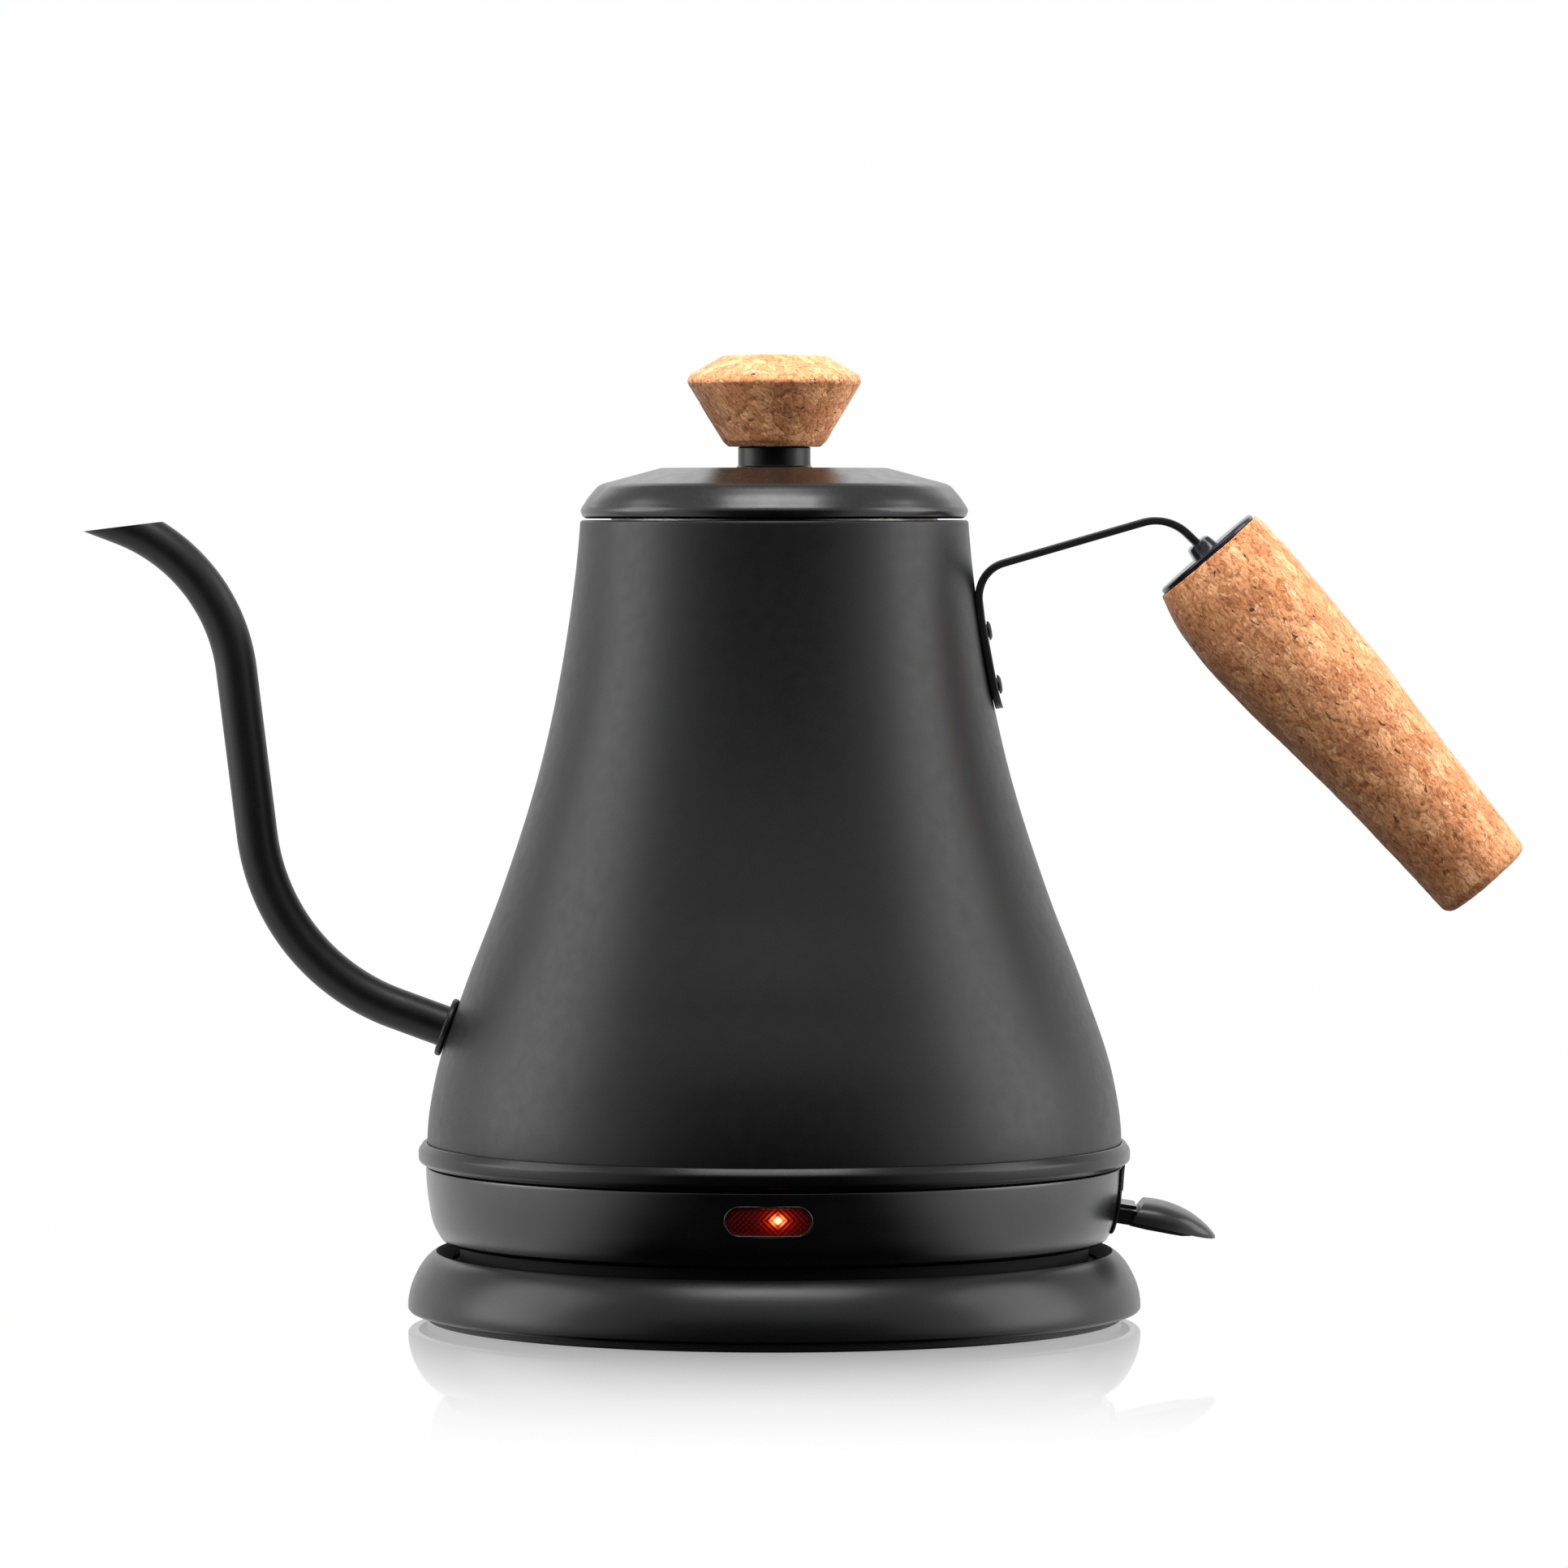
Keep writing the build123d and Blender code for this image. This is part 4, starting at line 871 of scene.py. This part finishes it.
def lid_cap():
    """The lid's shallow cone, with the slot of its steam vent."""
    side = [(40.1, 167.3), (39.35, 168.8), (37.6, 171.2), (36.2, 172.6)]
    side = through(side, (-0.1, 1), (-1, 0.62), 6)
    outline = rounded([
        (37.4, 166.6), (37.4, 165.75, 0.1), (38.9, 165.75, 0.35), (39.75, 166.2, 0.9), tuple(side[0]),
    ], closed=False)
    outline += side[1:-1]
    outline += divided(rounded([
        tuple(side[-1]), (35.3, 173.0, 1.0), (23.4, 176.2, 1.0), (2.0, 176.2),
    ], closed=False), 1.5)
    inside = ((2.0, 175.4), (23.0, 175.4), (34.9, 172.35), (38.5, 168.0), (38.4, 166.6))
    outline += [Vector(p) for p in inside]
    cap = piece(turned(outline), "lid_cap", "lid", LID_COAT, ["lid_shell"])
    slot = [Vector(((x - 28.4) * MM, y * MM, 172 * MM)) for x, y in rounded_box(1.5, 3.2, 0.74)]
    cut(cap, slot, Vector((0, 0, 6 * MM)))


def lid_stem():
    """The short neck between lid and knob."""
    outline = rounded([
        (2.05, 176.22), (8.0, 176.22, 0.1), (7.5, 176.7, 0.4), (7.5, 180.55, 0.3), (2.05, 180.55),
    ])
    piece(turned(outline, turns=128), "lid_neck", "lid", NECK_COAT, ["lid_stem"])


def lid_knob():
    """The cork knob, wider at its top."""
    outline = divided(rounded([
        (0.0, 180.62), (9.6, 180.62, 0.7), (10.8, 181.8, 0.8), (18.15, 194.1, 1.3), (17.4, 195.5, 0.9),
        (10.7, 199.35, 1.4), (0.0, 199.75),
    ], closed=False, steps=6), 0.42)
    bm = turned(outline, turns=260, closed=False)
    cork_skin(bm)
    piece(bm, "cork_knob", "lid", CORK, ["lid_knob"], sharp=80)


lid_cap()
lid_stem()
lid_knob()


# ---------------------------------------- handle
GRIP_AT = Vector((89.08, 0, 158.85)) * MM
GRIP_SLOPE = math.radians(49.25)
GRIP_DIR = Vector((math.cos(GRIP_SLOPE), 0, -math.sin(GRIP_SLOPE)))
GRIP_OUT = Vector((math.sin(GRIP_SLOPE), 0, math.cos(GRIP_SLOPE)))
GRIP_PLACE = Matrix.Translation(GRIP_AT) @ Matrix((
    (0, GRIP_OUT.x, GRIP_DIR.x, 0), (1, 0, 0, 0), (0, GRIP_OUT.z, GRIP_DIR.z, 0), (0, 0, 0, 1),
))
GRIP_STATIONS = [  # distance along the grip, radius, and how far its middle is off the straight line
    (1.2, 12.7, 0.0), (8.0, 13.9, -0.65), (18.0, 14.35, -1.0), (30.0, 14.05, -0.8),
    (43.0, 13.28, -0.27), (57.0, 12.21, -0.21), (73.0, 11.36, -0.16), (85.6, 10.78, -0.26),
]
GRIP_LEN = 89.8
STRAP_LINE = [(46.62, 126.5), (44.92, 135.4), (43.5, 143.0), (41.46, 154.8), (81.35, 166.42)]
STRAP_BENDS = (60, 60, 6.9, 9.4)
STRAP_T, STRAP_W, TANG_W = 1.55, 12.0, 8.0
STRAP_EDGE, STRAP_CORNER = 0.35, 5.2  # rounding of its edges and of its foot's corners
STRAP_HUG = 43.5  # radius to which the foot of the strap is curved round the vessel
HUG_END, HUG_FADE = 151.5, 6.5  # height where that curve ends, and how softly
RIVETS = ((142.5, 10.2, 3.2, 6.5), (131.0, 10.8, 5.25, 8.65))  # height, tilt, inner and outer seat


def strap():
    """The bent flat strip, rounded at its foot and narrowed to a tang where it enters the grip."""
    neck = (GRIP_AT - GRIP_DIR * MM) / MM
    tang = (GRIP_AT + GRIP_DIR * 26 * MM) / MM
    route = bent(STRAP_LINE + [(neck.x, neck.z)], STRAP_BENDS)
    route = divided(route, 0.8) + [Vector((tang.x, tang.z))]
    section = rounded_box(STRAP_T, STRAP_W, STRAP_EDGE)
    bm = bmesh.new()
    rings = swept(bm, [p * MM for p in route], [(u * MM, v * MM) for u, v in section])
    run = 0.0
    for i, ring in enumerate(rings):
        if i:
            run += (route[i] - route[i - 1]).length
        left = max(0.0, STRAP_CORNER - run)
        half = STRAP_W / 2 - STRAP_CORNER + math.sqrt(max(STRAP_CORNER**2 - left**2, 0.0))
        half = max(half, 0.9)
        if i >= len(rings) - 2:
            half = TANG_W / 2
        for vertex in ring:
            side = 1 if vertex.co.y > 0 else -1
            inner = STRAP_W / 2 * MM - abs(vertex.co.y)
            vertex.co.y = side * max(half * MM - inner, 0)
            hug = min(1.0, max(0.0, (HUG_END - route[i].y) / HUG_FADE)) if route[i].x < 50 else 0.0
            across = vertex.co.y / MM
            vertex.co.x -= hug * (STRAP_HUG - math.sqrt(STRAP_HUG**2 - across**2)) * MM
    piece(bm, "handle_strip", "kettle", STRAP_COAT, ["handle_strap"], sharp=50)


def rivets():
    """The two rivets that hold the strap."""
    bm = bmesh.new()
    for height, tilt, start, seat in RIVETS:
        angle = math.radians(tilt)
        run = Vector((math.cos(angle), 0, math.sin(angle)))
        foot = Vector((38, 0, height - 6 * math.tan(angle)))
        place = Matrix.Translation(foot * MM) @ run.to_track_quat("Z", "Y").to_matrix().to_4x4()
        outline = rounded([
            (0, start - 0.02), (2.0, start + 0.05, 0.8), (2.6, start + 0.7, 0.1), (1.4, start + 0.7),
            (1.4, seat - 0.2), (2.0, seat - 0.2), (2.0, seat + 0.15, 0.3), (1.3, seat + 0.55, 0.8),
            (0, seat + 0.6),
        ], closed=False)
        add_turned(bm, outline, place, closed=False)
    piece(bm, "strap_rivet_heads", "kettle", STRAP_COAT, ["strap_rivets"])


def end_cap():
    """Glossy disc on top of the grip, with the block that the strap goes into."""
    disc = rounded([
        (0, 0), (11.6, 0, 0.3), (12.1, 0.35, 0.3), (12.1, 1.0, 0.2), (11.8, 1.15, 0.1), (0, 1.15),
    ], closed=False)
    bm = turned(disc, GRIP_PLACE, turns=128, closed=False)
    levels = [
        (0.02, 17.4, 6.3), (-0.25, 17.0, 5.8), (-1.9, 16.5, 5.2), (-2.35, 16.1, 4.8), (-2.6, 15.3, 4.0),
    ]
    rings = []
    for level, width, height in levels:
        shape = rounded_box(width, height, height * 0.42, steps=6)
        ring = [GRIP_PLACE @ Vector((x * MM, y * MM, level * MM)) for x, y in shape]
        rings.append([bm.verts.new(at) for at in ring])
    bridge(bm, rings, len(rings[0]))
    bm.faces.new(rings[-1])
    bm.faces.new(rings[0])
    piece(bm, "grip_end_cap", "kettle", CAP_GLOSS, ["handle_end_cap"])


def grip():
    """The cork grip: round, slightly bowed, with a dense mesh for the cork's relief."""
    sides = through([(r, t) for t, r, _ in GRIP_STATIONS], (0.35, 1), (-0.045, 1), 14)
    line = [Vector((0, 1.2)), Vector((11.9, 1.2))] + list(sides)
    end = [tuple(sides[-1]), (10.62, GRIP_LEN, 4.2), (0, GRIP_LEN)]
    outline = divided(line + rounded(end, closed=False, steps=12)[1:], 0.45)
    shifts = []
    for point in outline:
        for low, high in zip(GRIP_STATIONS, GRIP_STATIONS[1:]):
            if low[0] <= point.y <= high[0]:
                t = (point.y - low[0]) / (high[0] - low[0])
                shifts.append((low[2] + (high[2] - low[2]) * t * t * (3 - 2 * t)) * MM)
                break
        else:
            shifts.append((GRIP_STATIONS[0][2] if point.y < 10 else GRIP_STATIONS[-1][2]) * MM)
    bm = turned(outline, GRIP_PLACE, turns=210, closed=False, aside=shifts)
    cork_skin(bm)
    piece(bm, "cork_handle", "kettle", CORK, ["cork_grip"], sharp=80)


strap()
rivets()
end_cap()
grip()


# ---------------------------------------- floor, light and camera
DARK_TO, WHITE_FROM = math.radians(27), math.radians(62)  # azimuths: end of the dark front, full white
MIRROR, MIRROR_FROM, MIRROR_TO = 0.63, 72 * MM, 262 * MM  # the floor's share of mirroring, and its fade
SKY_TOP, FLOOR_BOUNCE = 0.55, 0.05  # the sky's brightness overhead and below
MATT_SHARE = 0.55  # how much of the sky's light reaches matt surfaces; the lamps light them instead
MIDDLE = (0, 0, 0.1)
LAMPS = (  # name, place, aim, width, height, how bright its face looks, and the rays that miss it
    ("left_softbox", (-1.3, 0.0, 0.55), MIDDLE, 0.9, 1.3, 3.0, "diffuse"),
    ("right_softbox", (1.3, 0.0, 0.55), MIDDLE, 0.9, 1.3, 3.0, None),
    ("top_softbox", (0, -0.55, 1.5), MIDDLE, 1.0, 0.5, 7.8, None),
    ("back_softbox", (0, 1.7, 1.15), MIDDLE, 2.4, 0.9, 0.9, None),
    ("handle_key", (0.5, -0.04, 0.42), (0.1, 0, 0.13), 0.2, 0.2, 23.0, "glossy"),
    ("knob_fill", (-0.07, -0.11, 0.35), (0, 0, 0.19), 0.12, 0.12, 21.0, "glossy"),
)
FLOOR_HALF, CARD_Z = 4, -0.3 * MM
FRONT_HALF, FRONT_Y, FRONT_TOP = 6.5, -2.2, 1.15
CAMERA_AWAY, CAMERA_UP = 1.72, 0.169
CAMERA_SIDE = math.radians(0.95)
CAMERA_AIM = Vector((2.0 * MM, 0, 110.8 * MM))
LENS_MM = 190.8


def linked(name, data):
    """A new object in the scene."""
    made = bpy.data.objects.new(name, data)
    bpy.context.scene.collection.objects.link(made)
    return made


def soft_lamp(name, at, aim, width, height, radiance, missed_by):
    """A soft rectangular light."""
    data = bpy.data.lights.new(name, "AREA")
    data.shape = "RECTANGLE"
    data.size = width
    data.size_y = height
    data.energy = radiance * math.pi * width * height
    lamp = linked(name, data)
    lamp.visible_camera = False
    lamp.location = at
    lamp.rotation_euler = (Vector(aim) - Vector(at)).to_track_quat("-Z", "Y").to_euler()
    if missed_by:
        setattr(lamp, "visible_" + missed_by, False)


def flat_stage(name, corners, finish):
    """A flat rectangle that belongs to the studio."""
    mesh = bpy.data.meshes.new(name)
    mesh.from_pydata(corners, [], [(0, 1, 2, 3)])
    made = linked(name, mesh)
    mesh.materials.append(finish)
    return made


def floor_finish():
    """A white table lit from below that mirrors the kettle, less and less away from its foot."""
    finish = Finish("white_floor", (0.8, 0.8, 0.8), 0.6, Specular_IOR_Level=0.0)
    glow = finish.add("ShaderNodeEmission")
    mirror = finish.add("ShaderNodeBsdfGlossy", Roughness=0.02)
    mirror.inputs["Color"].default_value = (1, 1, 1, 1)
    away = finish.add("ShaderNodeVectorMath", operation="LENGTH")
    finish.join(finish.place, away.inputs[0])
    near = finish.spread(away.outputs["Value"], MIRROR_FROM, MIRROR_TO, 1.0, 0.0)
    share = finish.math("MULTIPLY", finish.math("MULTIPLY", near, near), MIRROR)
    blend = finish.add("ShaderNodeMixShader")
    finish.join(share, blend.inputs[0])
    finish.join(glow.outputs[0], blend.inputs[1])
    finish.join(mirror.outputs[0], blend.inputs[2])
    finish.join(blend.outputs[0], finish.tree.nodes["Material Output"].inputs["Surface"])
    return finish.material


def graded(name):
    """A surface that shines white to the sides and behind, and is black in front of the kettle."""
    finish = Finish(name, (0.0, 0.0, 0.0), 1.0, Specular_IOR_Level=0.0)
    finish.shader.inputs["Emission Color"].default_value = (1, 1, 1, 1)
    split = finish.add("ShaderNodeSeparateXYZ")
    finish.join(finish.place, split.inputs[0])
    sideways = finish.math("ABSOLUTE", split.outputs["X"])
    forward = finish.math("MULTIPLY", split.outputs["Y"], -1.0)
    azimuth = finish.math("ARCTAN2", sideways, forward)
    white = finish.spread(azimuth, DARK_TO, WHITE_FROM, 0.0, 1.0, "SMOOTHSTEP")
    finish.feed("Emission Strength", white)
    return finish.material


def reflected_only(made):
    """Hides a stage card from everything except reflections."""
    made.visible_camera = False
    made.visible_diffuse = False
    made.visible_shadow = False


def sky():
    """White all round the horizon, dimmer overhead and nearly black below, weaker on matt surfaces."""
    world = bpy.data.worlds.new("studio")
    world.use_nodes = True
    nodes = Nodes(world.node_tree)
    split = nodes.add("ShaderNodeSeparateXYZ")
    nodes.join(nodes.add("ShaderNodeTexCoord").outputs["Generated"], split.inputs[0])
    overhead = nodes.spread(split.outputs["Z"], 0.2, 0.5, 1.0, SKY_TOP)
    below = nodes.spread(split.outputs["Z"], -0.32, -0.18, FLOOR_BOUNCE, 1.0)
    matt_ray = nodes.add("ShaderNodeLightPath").outputs["Is Diffuse Ray"]
    matt = nodes.spread(matt_ray, 0.0, 1.0, 1.0, MATT_SHARE)
    strength = nodes.math("MULTIPLY", nodes.math("MULTIPLY", overhead, below), matt)
    background = nodes.tree.nodes["Background"]
    background.inputs["Color"].default_value = (1, 1, 1, 1)
    nodes.join(strength, background.inputs["Strength"])
    bpy.context.scene.world = world


def studio():
    """The floor, two cards that only reflections see, the sky and the lamps."""
    def level(z):
        h = FLOOR_HALF
        return [(-h, -h, z), (h, -h, z), (h, h, z), (-h, h, z)]

    floor = flat_stage("floor", level(0), floor_finish())
    floor.visible_diffuse = False
    floor.visible_glossy = False
    reflected_only(flat_stage("table_card", level(CARD_Z), graded("table")))
    w, y, top = FRONT_HALF, FRONT_Y, FRONT_TOP
    upright = [(-w, y, 0), (w, y, 0), (w, y, top), (-w, y, top)]
    reflected_only(flat_stage("front_card", upright, graded("front")))
    sky()
    for lamp in LAMPS:
        soft_lamp(*lamp)
    bpy.context.scene.view_settings.view_transform = "Standard"


def camera():
    data = bpy.data.cameras.new("camera")
    data.lens = LENS_MM
    data.sensor_width = 36.0
    made = linked("camera", data)
    side, forward = math.sin(CAMERA_SIDE), math.cos(CAMERA_SIDE)
    made.location = (CAMERA_AWAY * side, -CAMERA_AWAY * forward, CAMERA_UP)
    made.rotation_euler = (CAMERA_AIM - made.location).to_track_quat("-Z", "Y").to_euler()
    bpy.context.scene.camera = made


studio()
camera()
